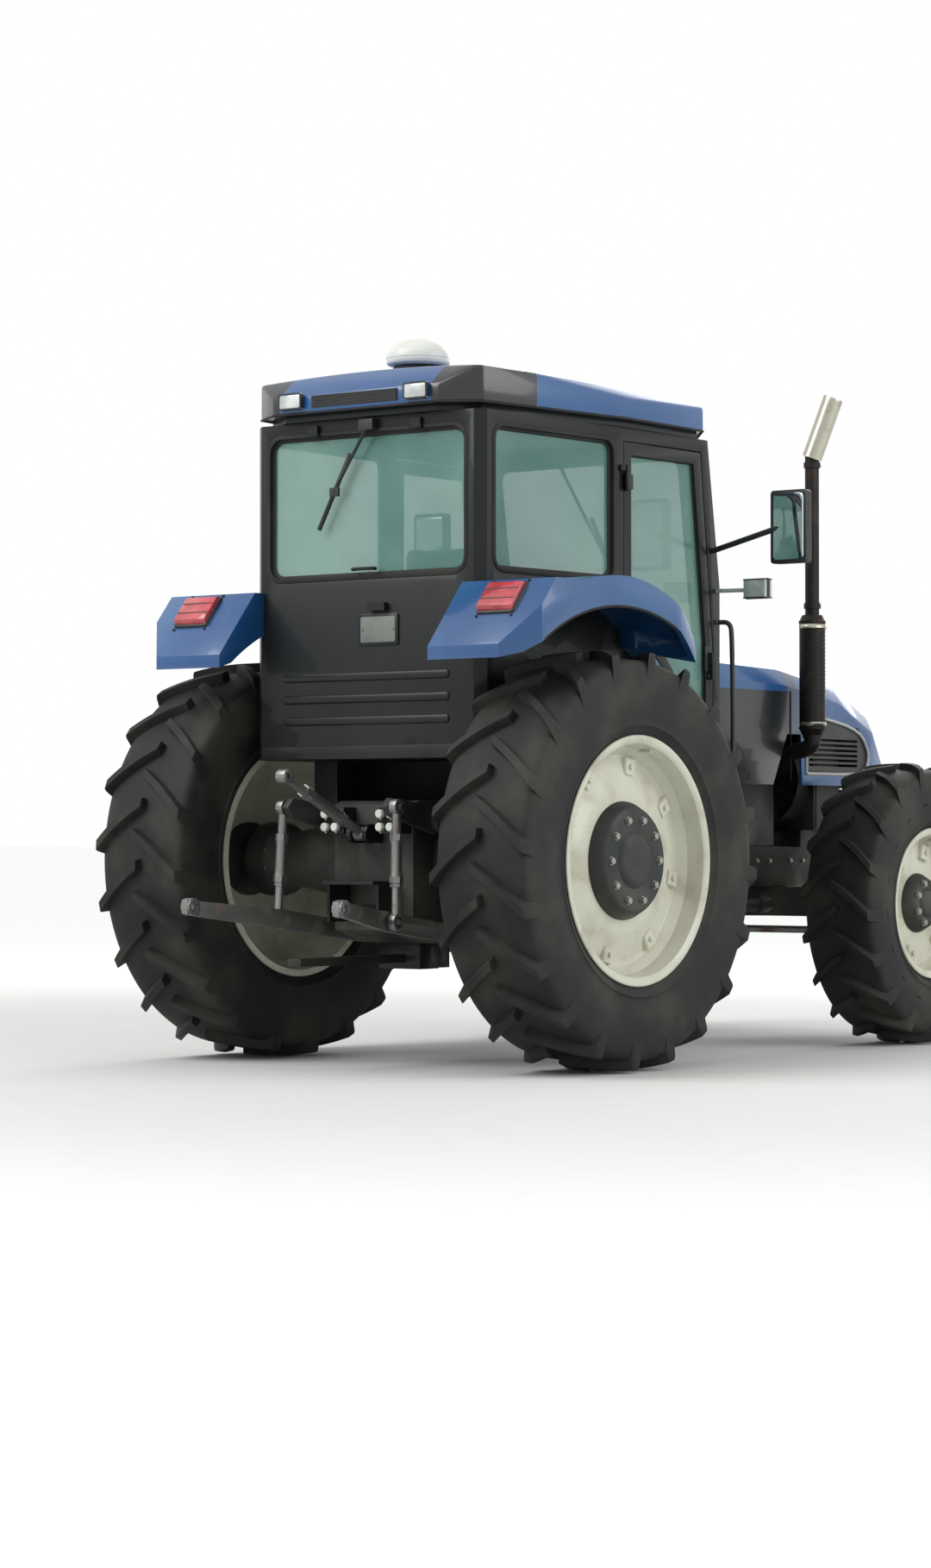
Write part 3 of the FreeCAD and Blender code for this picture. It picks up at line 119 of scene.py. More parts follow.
class Finish:
    """One material. Its nodes come from node(), and coat() feeds them to the Principled shader."""

    def __init__(self, name):
        self.material = bpy.data.materials.new(name)
        self.material.use_nodes = True
        self.tree = self.material.node_tree
        self.shader = self.tree.nodes["Principled BSDF"]
        self.place = self.node("ShaderNodeTexCoord", {}, {}, "Object")
        self.height = self.along("Z")

    def join(self, socket, value):
        if isinstance(value, Wire):
            self.tree.links.new(value.socket, socket)
        else:
            socket.default_value = value

    def node(self, kind, settings, inputs, out=0):
        made = self.tree.nodes.new(kind)
        for name, value in settings.items():
            setattr(made, name, value)
        for place, value in inputs.items():
            self.join(made.inputs[place], value)
        return Wire(self, made.outputs[out])

    def along(self, axis):
        return self.node("ShaderNodeSeparateXYZ", {}, {0: self.place}, axis)

    def noise(self, scale, detail=3, stretch=None):
        """Cloudy values around one half. A stretch draws them out along an axis."""
        place = self.place
        if stretch:
            place = self.node("ShaderNodeMapping", {}, {"Vector": self.place, "Scale": stretch})
        return self.node("ShaderNodeTexNoise", {}, {"Vector": place, "Scale": scale, "Detail": detail})

    def cells(self, scale):
        return self.node("ShaderNodeTexVoronoi", {}, {"Vector": self.place, "Scale": scale})

    def waves(self, axis, scale):
        settings = {"bands_direction": axis}
        return self.node("ShaderNodeTexWave", settings, {"Vector": self.place, "Scale": scale})

    def step(self, value, low, high):
        """0 below low, 1 above high, with a soft step between. Low may be the larger one."""
        settings = {"interpolation_type": "SMOOTHSTEP"}
        return self.node("ShaderNodeMapRange", settings, {0: value, 1: low, 2: high, 3: 0.0, 4: 1.0})

    def mix(self, share, low, high):
        return self.node("ShaderNodeMix", {"data_type": "RGBA"}, {0: share, 6: low, 7: high}, 2)

    def bump(self, height, strength, distance):
        return self.node("ShaderNodeBump", {}, {"Strength": strength, "Distance": distance, "Height": height})

    def coat(self, **sockets):
        for name, value in sockets.items():
            self.join(self.shader.inputs[name.replace("_", " ")], value)
        return self.material


def colour(*screen):
    """Screen values from 0 to 255, as the linear colour that a shader takes."""
    shares = [value / 255 for value in screen]
    linear = [share / 12.92 if share < 0.0405 else ((share + 0.055) / 1.055) ** 2.4 for share in shares]
    return (*linear, 1.0)


print("a finish is built from", Finish.__name__, "and", Wire.__name__)

# %% [markdown]
# ## Floor, backdrop and light
# A pale floor and a white world make a plain studio. The camera sees the world at full white, and so do
# mirrors and glass, but the light that it throws on the tractor is lower, which keeps colours near the
# values they are written with. Three big soft lamps stand round it: the strongest high behind the
# tractor on its left, a weaker one on its right, and the weakest ahead of it. Far from the tractor the
# floor fades towards the backdrop's white, for the eye, mirrors and glass alone, so that no dark horizon
# cuts the picture and the fade lights nothing.

# %% Stage and lamps
FLOOR_COLOUR = colour(214, 217, 214)
FLOOR_CLOUDS = colour(222, 224, 221)
FLOOR_WIDTH = 400
FADE_START = 4.0
FADE_END = 12.0
FADE_GLOW = (0.5, 0.5, 0.5, 1.0)
NO_GLOW = (0.0, 0.0, 0.0, 1.0)
WORLD_LIGHT = 0.55
SEEING_RAYS = ("Is Camera Ray", "Is Glossy Ray", "Is Transmission Ray")

floor_finish = Finish("pale_floor")
grain = floor_finish.noise(6.0, 5)
length = {"operation": "LENGTH"}
distance = floor_finish.node("ShaderNodeVectorMath", length, {0: floor_finish.place}, "Value")
looked_at, mirrored, through_glass = (
    floor_finish.node("ShaderNodeLightPath", {}, {}, ray) for ray in SEEING_RAYS)
seen_floor = floor_finish.step(looked_at + mirrored + through_glass, 0.0, 0.9)
fade = floor_finish.step(distance, FADE_START, FADE_END) * seen_floor
floor_finish.coat(
    Base_Color=floor_finish.mix(grain, FLOOR_COLOUR, FLOOR_CLOUDS), Roughness=0.9,
    Emission_Color=floor_finish.mix(fade, NO_GLOW, FADE_GLOW), Emission_Strength=1.0)
bpy.ops.mesh.primitive_plane_add(size=FLOOR_WIDTH)
floor = bpy.context.object
floor.name = "floor"
floor.data.materials.append(floor_finish.material)

world = bpy.data.worlds.new("studio")
scene.world = world
world.use_nodes = True
backdrop = world.node_tree.nodes["Background"]
backdrop.inputs["Color"].default_value = (1, 1, 1, 1)
seen = world.node_tree.nodes.new("ShaderNodeLightPath")
level = world.node_tree.nodes.new("ShaderNodeMapRange")
level.inputs["To Min"].default_value = WORLD_LIGHT
either = seen.outputs[SEEING_RAYS[0]]
for ray in SEEING_RAYS[1:]:
    larger = world.node_tree.nodes.new("ShaderNodeMath")
    larger.operation = "MAXIMUM"
    world.node_tree.links.new(either, larger.inputs[0])
    world.node_tree.links.new(seen.outputs[ray], larger.inputs[1])
    either = larger.outputs[0]
world.node_tree.links.new(either, level.inputs["Value"])
world.node_tree.links.new(level.outputs[0], backdrop.inputs["Strength"])

LAMPS = (
    # name, spot, width, watts
    ("key", (-9.0, 4.0, 9.0), 7.0, 900),
    ("fill", (2.0, -11.0, 6.0), 8.0, 620),
    ("front", (11.0, 3.0, 7.0), 7.0, 500),
)
LAMPS_AIM = Vector((0, 0, 1.2))
for name, spot, width, watts in LAMPS:
    lamp = bpy.data.objects.new(name, bpy.data.lights.new(name, "AREA"))
    lamp.data.size = width
    lamp.data.energy = watts
    lamp.location = spot
    lamp.rotation_euler = (LAMPS_AIM - Vector(spot)).to_track_quat("-Z", "Y").to_euler()
    scene.collection.objects.link(lamp)
print(len(LAMPS), "lamps, world at", WORLD_LIGHT)

# %% [markdown]
# ## Dust
# A working tractor is never one clean colour. Dust settles thickest near the ground and thins out
# upwards, in clouds rather than bands. One function lays that film over any clean colour and also hands
# back how thick it is, so that the same film can dull the gloss.

# %% A film of dust
DUST = colour(126, 122, 106)
DUST_FOOT = 0.1


def dusty(finish, clean, top, amount, patch_size=2.6):
    """The clean colour under dust that fades out at the height top, and the dust's share."""
    reach = finish.step(finish.height, top, DUST_FOOT)
    patches = finish.step(finish.noise(patch_size, 5), 0.3, 0.75)
    share = reach * patches * amount
    return finish.mix(share, clean, DUST), share


print("dust colour", [round(value, 3) for value in DUST])

# %% [markdown]
# ## Paint
# The sheet-metal is sprayed with blue enamel, a gloss coat over a colour that has faded a little on the
# open faces. The coat is Principled's own clear layer. Fine orange peel comes from very small noise in
# the bump, and rain has left faint upright streaks, made by stretching a noise along Z.

# %% Enamels


def enamel(name, clean, faded, gloss, dust_top, dust_amount, shine=0.5):
    """Sprayed paint with faded clouds, rain streaks, orange peel and dust."""
    paint = Finish(name)
    clouds = paint.step(paint.noise(1.3, 4), 0.35, 0.7)
    streaks = paint.step(paint.noise(7.0, 3, (1.0, 1.0, 0.09)), 0.52, 0.72)
    base = paint.mix(clouds * 0.45 + streaks * 0.2, clean, faded)
    base, dust = dusty(paint, base, dust_top, dust_amount)
    peel = paint.noise(380.0, 1)
    return paint.coat(
        Base_Color=base, Roughness=dust * 0.45 + streaks * 0.08 + gloss,
        Coat_Weight=dust * -0.7 * shine + 0.8 * shine, Coat_Roughness=0.07, Specular_IOR_Level=shine,
        Normal=paint.bump(peel, 0.06, 0.001))


BLUE = colour(13, 72, 128)
FADED_BLUE = colour(33, 97, 149)
BLACK = colour(11, 16, 18)
FADED_BLACK = colour(19, 24, 26)
blue_paint = enamel("blue_enamel", BLUE, FADED_BLUE, 0.3, 2.4, 0.32)
black_paint = enamel("black_enamel", BLACK, FADED_BLACK, 0.46, 2.4, 0.12, 0.22)
print("paints:", blue_paint.name, black_paint.name)

# %% [markdown]
# The wheels' cream enamel takes the worst of the dirt: brown grime lies over it in fine blotches, and
# small chips go through to rust.

# %% Wheel enamel
CREAM = colour(203, 203, 186)
GRIME = colour(142, 134, 112)
RUST = colour(92, 62, 44)

rim_finish = Finish("wheel_enamel")
rim_grime = rim_finish.step(rim_finish.noise(5.5, 7), 0.42, 0.78)
rim_chips = rim_finish.step(rim_finish.noise(60.0, 4), 0.7, 0.76)
rim_base = rim_finish.mix(rim_chips * 0.6, rim_finish.mix(rim_grime * 0.55, CREAM, GRIME), RUST)
rim_paint = rim_finish.coat(
    Base_Color=rim_base, Roughness=rim_grime * 0.3 + 0.38, Coat_Weight=0.3 - rim_grime * 0.25,
    Normal=rim_finish.bump(rim_grime * 0.5 + rim_chips, 0.15, 0.001))
print("wheel enamel", rim_paint.name)

# %% [markdown]
# ## Castings and steel
# Housings and axles are rough iron castings under black paint. The sand mould leaves a coarse grain,
# which a small-scale noise gives as bump, and oil darkens some places. Pins, links and nuts are plain
# steel: brighter, finely brushed, and rusty in blotches.

# %% Iron and steel
STEEL_RUST = colour(104, 66, 44)


def iron(name, clean, dark, dust_amount):
    """A rough casting, darker where oil has soaked in."""
    cast = Finish(name)
    oil = cast.step(cast.noise(3.3, 4), 0.45, 0.65)
    base, dust = dusty(cast, cast.mix(oil, clean, dark), 1.7, dust_amount, 4.0)
    sand = cast.noise(170.0, 3)
    return cast.coat(
        Base_Color=base, Roughness=0.72 - oil * 0.3 + dust * 0.2, Metallic=0.15,
        Normal=cast.bump(sand + cast.noise(14.0, 3) * 0.6, 0.35, 0.0015))


def steel(name, clean, rust_share, roughness):
    """Bright metal, brushed along Z, with rust in blotches."""
    metal = Finish(name)
    rust = metal.step(metal.noise(11.0, 6), 0.52, 0.72) * rust_share
    base, dust = dusty(metal, metal.mix(rust, clean, STEEL_RUST), 1.6, 0.3, 7.0)
    brushed = metal.noise(90.0, 3, (1.0, 1.0, 0.2))
    return metal.coat(
        Base_Color=base, Roughness=roughness + rust * 0.4 + dust * 0.3,
        Metallic=0.9 - rust * 0.8 - dust * 0.6, Normal=metal.bump(brushed, 0.08, 0.0008))


cast_iron = iron("cast_iron", colour(38, 42, 43), colour(18, 20, 21), 0.5)
hub_iron = iron("hub_iron", colour(36, 40, 42), colour(20, 22, 23), 0.35)
link_steel = steel("link_steel", colour(128, 130, 128), 0.8, 0.42)
bolt_steel = steel("bolt_steel", colour(150, 151, 146), 0.5, 0.38)
chrome = steel("stack_chrome", colour(176, 174, 160), 0.25, 0.3)
hot_steel = steel("heated_steel", colour(42, 41, 40), 0.15, 0.55)
print("metals:", cast_iron.name, link_steel.name, chrome.name, hot_steel.name)

# %% [markdown]
# ## Rubber and plastic
# Tyre rubber is nearly black but never shiny, and dry soil clings to it. The noise for the soil is
# broken up twice, once in large patches and once in crumbs. Moulded plastic has an even leather-like
# grain, for which small Voronoi cells are enough.

# %% Rubbers and plastics
SOIL = colour(96, 92, 80)


def rubber(name, clean, soil_amount):
    """Dull rubber with dry soil in patches."""
    compound = Finish(name)
    soil = compound.step(compound.noise(3.2, 7), 0.4, 0.72) * soil_amount
    crumbs = compound.noise(120.0, 4)
    return compound.coat(
        Base_Color=compound.mix(soil * (crumbs * 0.8 + 0.5), clean, SOIL),
        Roughness=soil * 0.2 + 0.68, Specular_IOR_Level=0.35,
        Normal=compound.bump(crumbs, 0.25, 0.001))


def plastic(name, clean, worn, roughness=0.5):
    """A moulding with a leather grain, paler where it is worn."""
    mould = Finish(name)
    clouds = mould.step(mould.noise(4.0, 4), 0.4, 0.75)
    base, dust = dusty(mould, mould.mix(clouds * 0.5, clean, worn), 2.4, 0.25)
    return mould.coat(
        Base_Color=base, Roughness=roughness + dust * 0.3,
        Normal=mould.bump(mould.cells(520.0), 0.12, 0.0006))


tyre_rubber = rubber("tyre_rubber", colour(19, 21, 22), 0.3)
seal_rubber = rubber("seal_rubber", colour(16, 17, 18), 0.15)
black_plastic = plastic("black_plastic", colour(26, 29, 30), colour(44, 47, 47))
white_plastic = plastic("white_plastic", colour(222, 224, 218), colour(196, 196, 184), 0.34)
print("rubbers and plastics:", tyre_rubber.name, black_plastic.name, white_plastic.name)

# %% [markdown]
# ## Glass and lenses
# The cab's safety glass is tinted green. Seen from outside it is half a mirror of the sky and half a
# window, so it is a thin film of pale colour with an alpha: that pale film is a painted reflection of the
# sky, what is behind shows through, and gloss lies on top. A noise makes the film thicker in some places,
# as dust does. The lamps' lenses are moulded in fine ribs both ways, which two waves at right angles give.

# %% Glass, lenses, mirror
pane = Finish("green_glass")
reflection_and_dust = pane.step(pane.noise(1.7, 5), 0.3, 0.8)
# The pale teal base colours are a painted reflection of the sky, thickened by the noise as dust.
cab_glass = pane.coat(
    Base_Color=pane.mix(reflection_and_dust, colour(104, 156, 146), colour(136, 178, 166)), Roughness=reflection_and_dust * 0.05 + 0.03,
    Alpha=reflection_and_dust * 0.14 + 0.38, Specular_IOR_Level=0.6)
cab_glass.use_backface_culling = False


def lens(name, clean, deep, ribs=150.0):
    """A moulded lens: fine ribs both ways, and a deeper tone in soft patches."""
    glass = Finish(name)
    rib = glass.waves("Y", ribs)
    grid = glass.waves("Z", ribs)
    tone = glass.step(glass.noise(9.0, 2), 0.35, 0.65)
    return glass.coat(
        Base_Color=glass.mix(tone, clean, deep), Roughness=tone * 0.1 + 0.12, Coat_Weight=0.8,
        Coat_Roughness=0.03, Normal=glass.bump(rib * 0.6 + grid * 0.4, 0.3, 0.001))


lamp_red = lens("red_lens", colour(206, 62, 74), colour(168, 34, 46))
lamp_amber = lens("amber_lens", colour(226, 138, 54), colour(196, 104, 32))
lamp_clear = lens("clear_lens", colour(214, 219, 216), colour(168, 176, 176), 90.0)
mirror_finish = Finish("mirror_silver")
smear = mirror_finish.step(mirror_finish.noise(6.0, 4), 0.4, 0.8)
mirror_silver = mirror_finish.coat(
    Base_Color=colour(214, 220, 220), Metallic=1.0, Roughness=smear * 0.12 + 0.03)
print("glass and lenses:", cab_glass.name, lamp_red.name, lamp_clear.name, mirror_silver.name)

# %% [markdown]
# ## Seat cloth
# The driver's seat is covered in a grey woven cloth. Waves along X and Y, multiplied, make the
# over-and-under of the threads at about two millimetres, a third along Z gives the upright faces their
# threads, and a soft sheen catches the light on the crown. The weave follows the object's own
# coordinates, so it needs no unwrapping.

# %% Woven cloth
THREADS = 130.0

cloth = Finish("seat_cloth")
warp, weft, upright = (cloth.waves(axis, THREADS) for axis in "XYZ")
weave = warp * weft + upright * 0.5
worn_cloth = cloth.step(cloth.noise(7.0, 4), 0.4, 0.7)
seat_fabric = cloth.coat(
    Base_Color=cloth.mix(weave * 0.4 + worn_cloth * 0.4, colour(46, 51, 55), colour(84, 90, 94)),
    Roughness=0.92, Sheen_Weight=0.3, Normal=cloth.bump(weave, 0.4, 0.0012))
print("cloth", seat_fabric.name)

# %% [markdown]
# ## Mesh recipes
# Most parts of a machine are one of four forms: rings joined by faces, an outline turned round an axis,
# a tube along a path, or a block. Each recipe writes into a bmesh, so several can share one piece. The
# function at the end turns a recipe into an object, smooths it up to a crease angle, names its paint
# slot and hangs it on the body that carries it.

# %% Rings, turned outlines, tubes, blocks
AHEAD = (1, 0, 0)
BEHIND = (-1, 0, 0)
ACROSS = (0, 1, 0)
UP = (0, 0, 1)


def skin(shape, rings, closed=True, looped=False, capped=False):
    """Faces between rings of points. Closed joins each ring's ends, looped joins last ring to first."""
    made = [[shape.verts.new(point) for point in ring] for ring in rings]
    for here, there in zip(made, made[1:] + made[:1] if looped else made[1:]):
        for i in range(len(here) if closed else len(here) - 1):
            j = (i + 1) % len(here)
            shape.faces.new((here[i], here[j], there[j], there[i]))
    if capped:
        shape.faces.new(made[0])
        shape.faces.new(made[-1])


def ring_of(number, start=0.0):
    """Angles in even steps round a circle."""
    return [math.tau * (step + start) / number for step in range(number)]


def turned(shape, outline, centre, axis=ACROSS, segments=64, looped=False, open_ends=False):
    """An outline of (distance along the axis, radius), turned round the axis and closed at its ends."""
    turn = Vector(UP).rotation_difference(Vector(axis))
    rings = [
        [Vector(centre) + turn @ Vector((radius * math.cos(a), radius * math.sin(a), along))
         for a in ring_of(segments)]
        for along, radius in outline
    ]
    skin(shape, rings, looped=looped, capped=not looped and not open_ends)


def tube(shape, path, radius, sides=12):
    """A round bar along a path, its section carried on without twist."""
    path = [Vector(point) for point in path]
    side, rings = None, []
    for number, point in enumerate(path):
        ahead = (path[min(number + 1, len(path) - 1)] - path[max(number - 1, 0)]).normalized()
        side = side or ahead.orthogonal()
        side = (side - ahead * side.dot(ahead)).normalized()
        up = ahead.cross(side)
        rings.append([point + (side * math.cos(a) + up * math.sin(a)) * radius for a in ring_of(sides)])
    skin(shape, rings, capped=True)


def block(shape, low, high):
    """A box whose corners may be given in any order."""
    (x0, x1), (y0, y1), (z0, z1) = (sorted(pair) for pair in zip(low, high))
    foot = [(x0, y0, z0), (x1, y0, z0), (x1, y1, z0), (x0, y1, z0)]
    skin(shape, [foot, [(x, y, z1) for x, y, _ in foot]], capped=True)


def nut(shape, centre, axis, size):
    """A washer and a hexagon with chamfered corners, pointing along the axis."""
    turned(shape, [(0, size * 1.15), (size * 0.18, size * 1.15)], centre, axis, 20)
    outline = [(size * 0.18, size * 0.88), (size * 0.2, size), (size * 0.85, size), (size, size * 0.86)]
    turned(shape, outline, centre, axis, 6)


def bend(points, steps=10):
    """A path whose inner corners are rounded off between the middles of its runs."""
    points = [Vector(point) for point in points]
    path = [points[0]]
    for before, corner, after in zip(points, points[1:], points[2:]):
        start = (before + corner) / 2
        end = (corner + after) / 2
        path += interpolate_bezier(start, start.lerp(corner, 0.67), end.lerp(corner, 0.67), end, steps)
    return path + [points[-1]]


def add_piece(name, build, finish, body="root", stands_for=(), crease=34, bevel=0.0):
    """Run a recipe, give it a finish, and hang it on its body."""
    shape = bmesh.new()
    build(shape)
    bmesh.ops.recalc_face_normals(shape, faces=shape.faces)
    mesh = bpy.data.meshes.new(name)
    shape.to_mesh(mesh)
    shape.free()
    mesh.materials.append(finish)
    mesh.shade_smooth()
    mesh.set_sharp_from_angle(angle=math.radians(crease))
    piece = bpy.data.objects.new(name, mesh)
    scene.collection.objects.link(piece)
    if bevel:
        edge = piece.modifiers.new("edges", "BEVEL")
        edge.width = bevel
        edge.segments = 2
        edge.limit_method = "ANGLE"
    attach(piece, body)
    if stands_for:
        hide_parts(*stands_for)
    return piece


SIDES = (("left", 1), ("right", -1))
print("recipes:", ", ".join(recipe.__name__ for recipe in (skin, turned, tube, block, nut, bend)))

# %% [markdown]
# ## Dressing the frame's own nodes
# Sheet-metal and castings are already the right shape, but a drawing's edges are knife sharp. Real
# edges are rounded and catch a line of light. A weld joins the triangles, a planar dissolve gives clean
# faces back, and a bevel rounds what is left. A small node group then drops the normals that came with
# the mesh and shades smoothly across shallow angles only. These are modifiers, so the frame's own mesh
# stays as it was packed.

# %% Shading by angle, as a node group
SMOOTH_LIMIT = math.radians(32)


def shading_group():
    group = bpy.data.node_groups.new("smooth_by_angle", "GeometryNodeTree")
    for way in ("INPUT", "OUTPUT"):
        group.interface.new_socket("Geometry", in_out=way, socket_type="NodeSocketGeometry")
    start = group.nodes.new("NodeGroupInput")
    end = group.nodes.new("NodeGroupOutput")
    plain = group.nodes.new("GeometryNodeRemoveAttribute")
    plain.inputs["Name"].default_value = "custom_normal"
    faces = group.nodes.new("GeometryNodeSetShadeSmooth")
    edges = group.nodes.new("GeometryNodeSetShadeSmooth")
    edges.domain = "EDGE"
    angle = group.nodes.new("GeometryNodeInputMeshEdgeAngle")
    shallow = group.nodes.new("FunctionNodeCompare")
    shallow.operation = "LESS_THAN"
    shallow.inputs["B"].default_value = SMOOTH_LIMIT
    for source, target in (
        (start.outputs[0], plain.inputs["Geometry"]), (plain.outputs[0], faces.inputs["Geometry"]),
        (faces.outputs[0], edges.inputs["Geometry"]), (angle.outputs["Unsigned Angle"], shallow.inputs["A"]),
        (shallow.outputs[0], edges.inputs["Shade Smooth"]), (edges.outputs[0], end.inputs[0]),
    ):
        group.links.new(source, target)
    return group


SHADING = shading_group()
print("group", SHADING.name)

# %% Give every node its finish and soft edges
SLOT_FINISH = {
    "cast_iron": cast_iron, "black_paint": black_paint, "cab_glass": cab_glass, "blue_paint": blue_paint,
    "white_plastic": white_plastic, "lamp_red": lamp_red, "lamp_clear": lamp_clear,
    "black_plastic": black_plastic, "chrome": chrome, "seat_fabric": seat_fabric,
    "link_steel": link_steel, "tyre": tyre_rubber, "rim_paint": rim_paint, "dark_hub": hub_iron,
}
EDGE_WIDTH = {
    # node: width of the rounded edge in metres, where it isn't the usual one
    "hood": 0.012, "fenders": 0.006, "roof_cap": 0.014, "engine": 0.008, "transmission": 0.01,
    "front_support": 0.008, "front_axle": 0.01, "tanks": 0.004, "cab_glass": 0, "door_glass_left": 0,
    "door_glass_right": 0, "grille": 0.0015, "wipers": 0.001, "work_lamps": 0.004, "headlamps": 0.004,
}
USUAL_EDGE = 0.003
WELD_DISTANCE = 0.00002
FLAT_WITHIN = math.radians(0.4)
ROUNDED_FROM = math.radians(24)


def dress(node):
    """The finish of a node's slot, and modifiers that round and shade its edges."""
    part = nodes[node]
    part.data.materials.clear()
    part.data.materials.append(SLOT_FINISH[slots[node]])
    width = EDGE_WIDTH.get(node, USUAL_EDGE)
    if width:
        weld = part.modifiers.new("weld", "WELD")
        weld.merge_threshold = WELD_DISTANCE
        flat = part.modifiers.new("flat faces", "DECIMATE")
        flat.decimate_type = "DISSOLVE"
        flat.angle_limit = FLAT_WITHIN
        edge = part.modifiers.new("edges", "BEVEL")
        edge.width = width
        edge.segments = 2
        edge.limit_method = "ANGLE"
        edge.angle_limit = ROUNDED_FROM
    part.modifiers.new("shading", "NODES").node_group = SHADING


for node in nodes:
    dress(node)
print(len(nodes), "nodes dressed in", len(SLOT_FINISH), "finishes")

# %% [markdown]
# ## Tyres
# A rear tyre stands as tall as a person and its bars are the first thing one sees. The carcass is a
# profile turned round the axle, with a rounded shoulder and a bulging wall. Each bar runs from past the
# middle out to the shoulder, with its nose pointing forward at the top of the wheel, and its foot runs
# on down the wall. The bar is swept: a short section with sloping flanks, placed at a row of stations
# whose angle and radius follow simple formulas. Left and right rows stand half a step apart.

# %% Wheel sizes in metres
TYRE_STEPS = 120
RIM_STEPS = 112
HUB_STEPS = 72
BAR_STEPS = 10
REAR_WHEEL = dict(
    tip=0.940, lug_height=0.042, half=0.250, belly=0.688, seat=0.533, flange=0.026, rim_half=0.228,
    well=0.051, face=0.130, rise=0.040, thick=0.014, eye=0.289, hub=0.265, hub_face=0.198, neck=0.120,
    inner_flange=0.175, flange_face=-0.022, lugs=20, lug_width=0.050, lug_sweep=0.100, nuts=10, cleats=8,
)
FRONT_WHEEL = dict(
    tip=0.710, lug_height=0.034, half=0.200, belly=0.491, seat=0.356, flange=0.024, rim_half=0.165,
    well=0.038, face=0.062, rise=0.010, thick=0.012, eye=0.146, hub=0.150, hub_face=0.128, neck=0.085,
    inner_flange=0.120, flange_face=-0.066, lugs=18, lug_width=0.042, lug_sweep=0.080, nuts=8, cleats=6,
)
WHEELS = [
    (f"{end}_{{}}_{side}", f"{end}_wheel_{side}", wheel, way)
    for end, wheel in (("rear", REAR_WHEEL), ("front", FRONT_WHEEL)) for side, way in SIDES
]


def wheel_centre(node):
    low, high = (Vector(corner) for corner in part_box(node))
    return (low + high) / 2


def on_wheel(centre, way, turn, across, radius):
    """A point at a turn from the top, a distance outwards along the axle, and a radius."""
    return centre + Vector((radius * math.sin(turn), way * across, radius * math.cos(turn)))


for pattern, *_ in WHEELS:
    print(pattern.format("wheel"), [round(value, 3) for value in wheel_centre(pattern.format("rim"))])

# %% Carcass and bars


def wall_profile(w):
    """One half of the tyre's outline, from the middle of the tread to the bead, as (across, radius)."""
    half, tread, rim_top = w["half"], w["tip"] - w["lug_height"], w["seat"] + w["flange"]
    bead = w["rim_half"] - 0.011
    corners = [
        (0.0, tread), (half * 0.45, tread - 0.001), (half - 0.062, tread - 0.005),
        (half - 0.024, tread - 0.016), (half - 0.008, tread - 0.042), (half - 0.001, tread - 0.1),
        (half, w["belly"] + 0.05), (half - 0.003, w["belly"]), (half - 0.012, rim_top + 0.06),
        (half - 0.008, rim_top + 0.045), (half - 0.018, rim_top + 0.03), (bead + 0.003, rim_top + 0.008),
        (bead, rim_top), (bead, w["seat"] + 0.001),
    ]
    path = []
    for before, here, there, after in zip(
            corners[:1] + corners, corners, corners[1:], corners[2:] + corners[-1:]):
        before, here, there, after = (Vector(corner) for corner in (before, here, there, after))
        leaving = here + (there - before) / 6
        arriving = there - (after - here) / 6
        path += interpolate_bezier(here, leaving, arriving, there, 5)[:-1]
    return [(min(y, half), r) for y, r in path] + [corners[-1]]


def bar_stations(w):
    """Across, tip radius and turn of one tread bar, over the tread and down the shoulder."""
    half, tip, tread = w["half"], w["tip"] - 0.001, w["tip"] - w["lug_height"]
    nose, edge = -0.06 * half, half - 0.007
    stations = []
    for number in range(BAR_STEPS + 1):
        t = number / BAR_STEPS
        ahead = w["lug_sweep"] * (1 - 2 * t) + 0.012 * math.sin(math.pi * t)
        stations.append((nose + (edge - nose) * t, tip - 0.013 * t ** 3, ahead, 1 + 0.1 * t))
    for across, radius, wider in (
            (half - 0.004, tip - 0.022, 1.12), (half - 0.002, tread - 0.02, 1.16),
            (half - 0.001, tread - 0.07, 1.2), (half - 0.001, tread - 0.12, 1.1)):
        stations.append((across, radius, -w["lug_sweep"] * (1.05 + (tread - radius) * 1.2), wider))
    return stations


def tyre_shape(w, centre, way):
    tip, tread = w["tip"], w["tip"] - w["lug_height"]
    profile = wall_profile(w)
    lead = math.asin((w["lug_sweep"] + w["lug_width"] / 2) / tip)

    def build(shape):
        both = [(-y, r) for y, r in reversed(profile)] + profile[1:]
        turned(shape, both, centre, ACROSS, TYRE_STEPS, open_ends=True)
        for row in (1, -1):
            for number in range(w["lugs"]):
                start = math.pi - lead + math.tau * (number + (0.5 if row < 0 else 0)) / w["lugs"]
                rings = []
                for across, top, ahead, wider in bar_stations(w):
                    flat, root = w["lug_width"] / 2 * wider - 0.005, min(top, tread) - 0.045
                    section = [(-flat - 0.016, root), (-flat - 0.004, top - 0.007), (-flat, top),
                               (flat, top), (flat + 0.004, top - 0.007), (flat + 0.016, root)]
                    turns = [(start + (ahead + o) / tip, r) for o, r in section]
                    rings.append([on_wheel(centre, way, turn, row * across, r) for turn, r in turns])
                skin(shape, rings, capped=True)

    return build


for pattern, body, w, way in WHEELS:
    tyre = add_piece(
        pattern.format("tyre") + "_moulded", tyre_shape(w, wheel_centre(pattern.format("rim")), way),
        tyre_rubber, body, [pattern.format("tyre")], crease=26)
    print(tyre.name, len(tyre.data.polygons), "faces")

# %% [markdown]
# ## Rims and hubs
# The rim is rolled from plate: a lip, a sloping bead seat, a dropped middle and a welded dish. One
# closed outline turned round the axle gives all of it. The dish meets the dark cast hub, which carries
# a ring of wheel nuts, and cleats hold the dish to the barrel.

# %% Rolled rim, hub, nuts and cleats


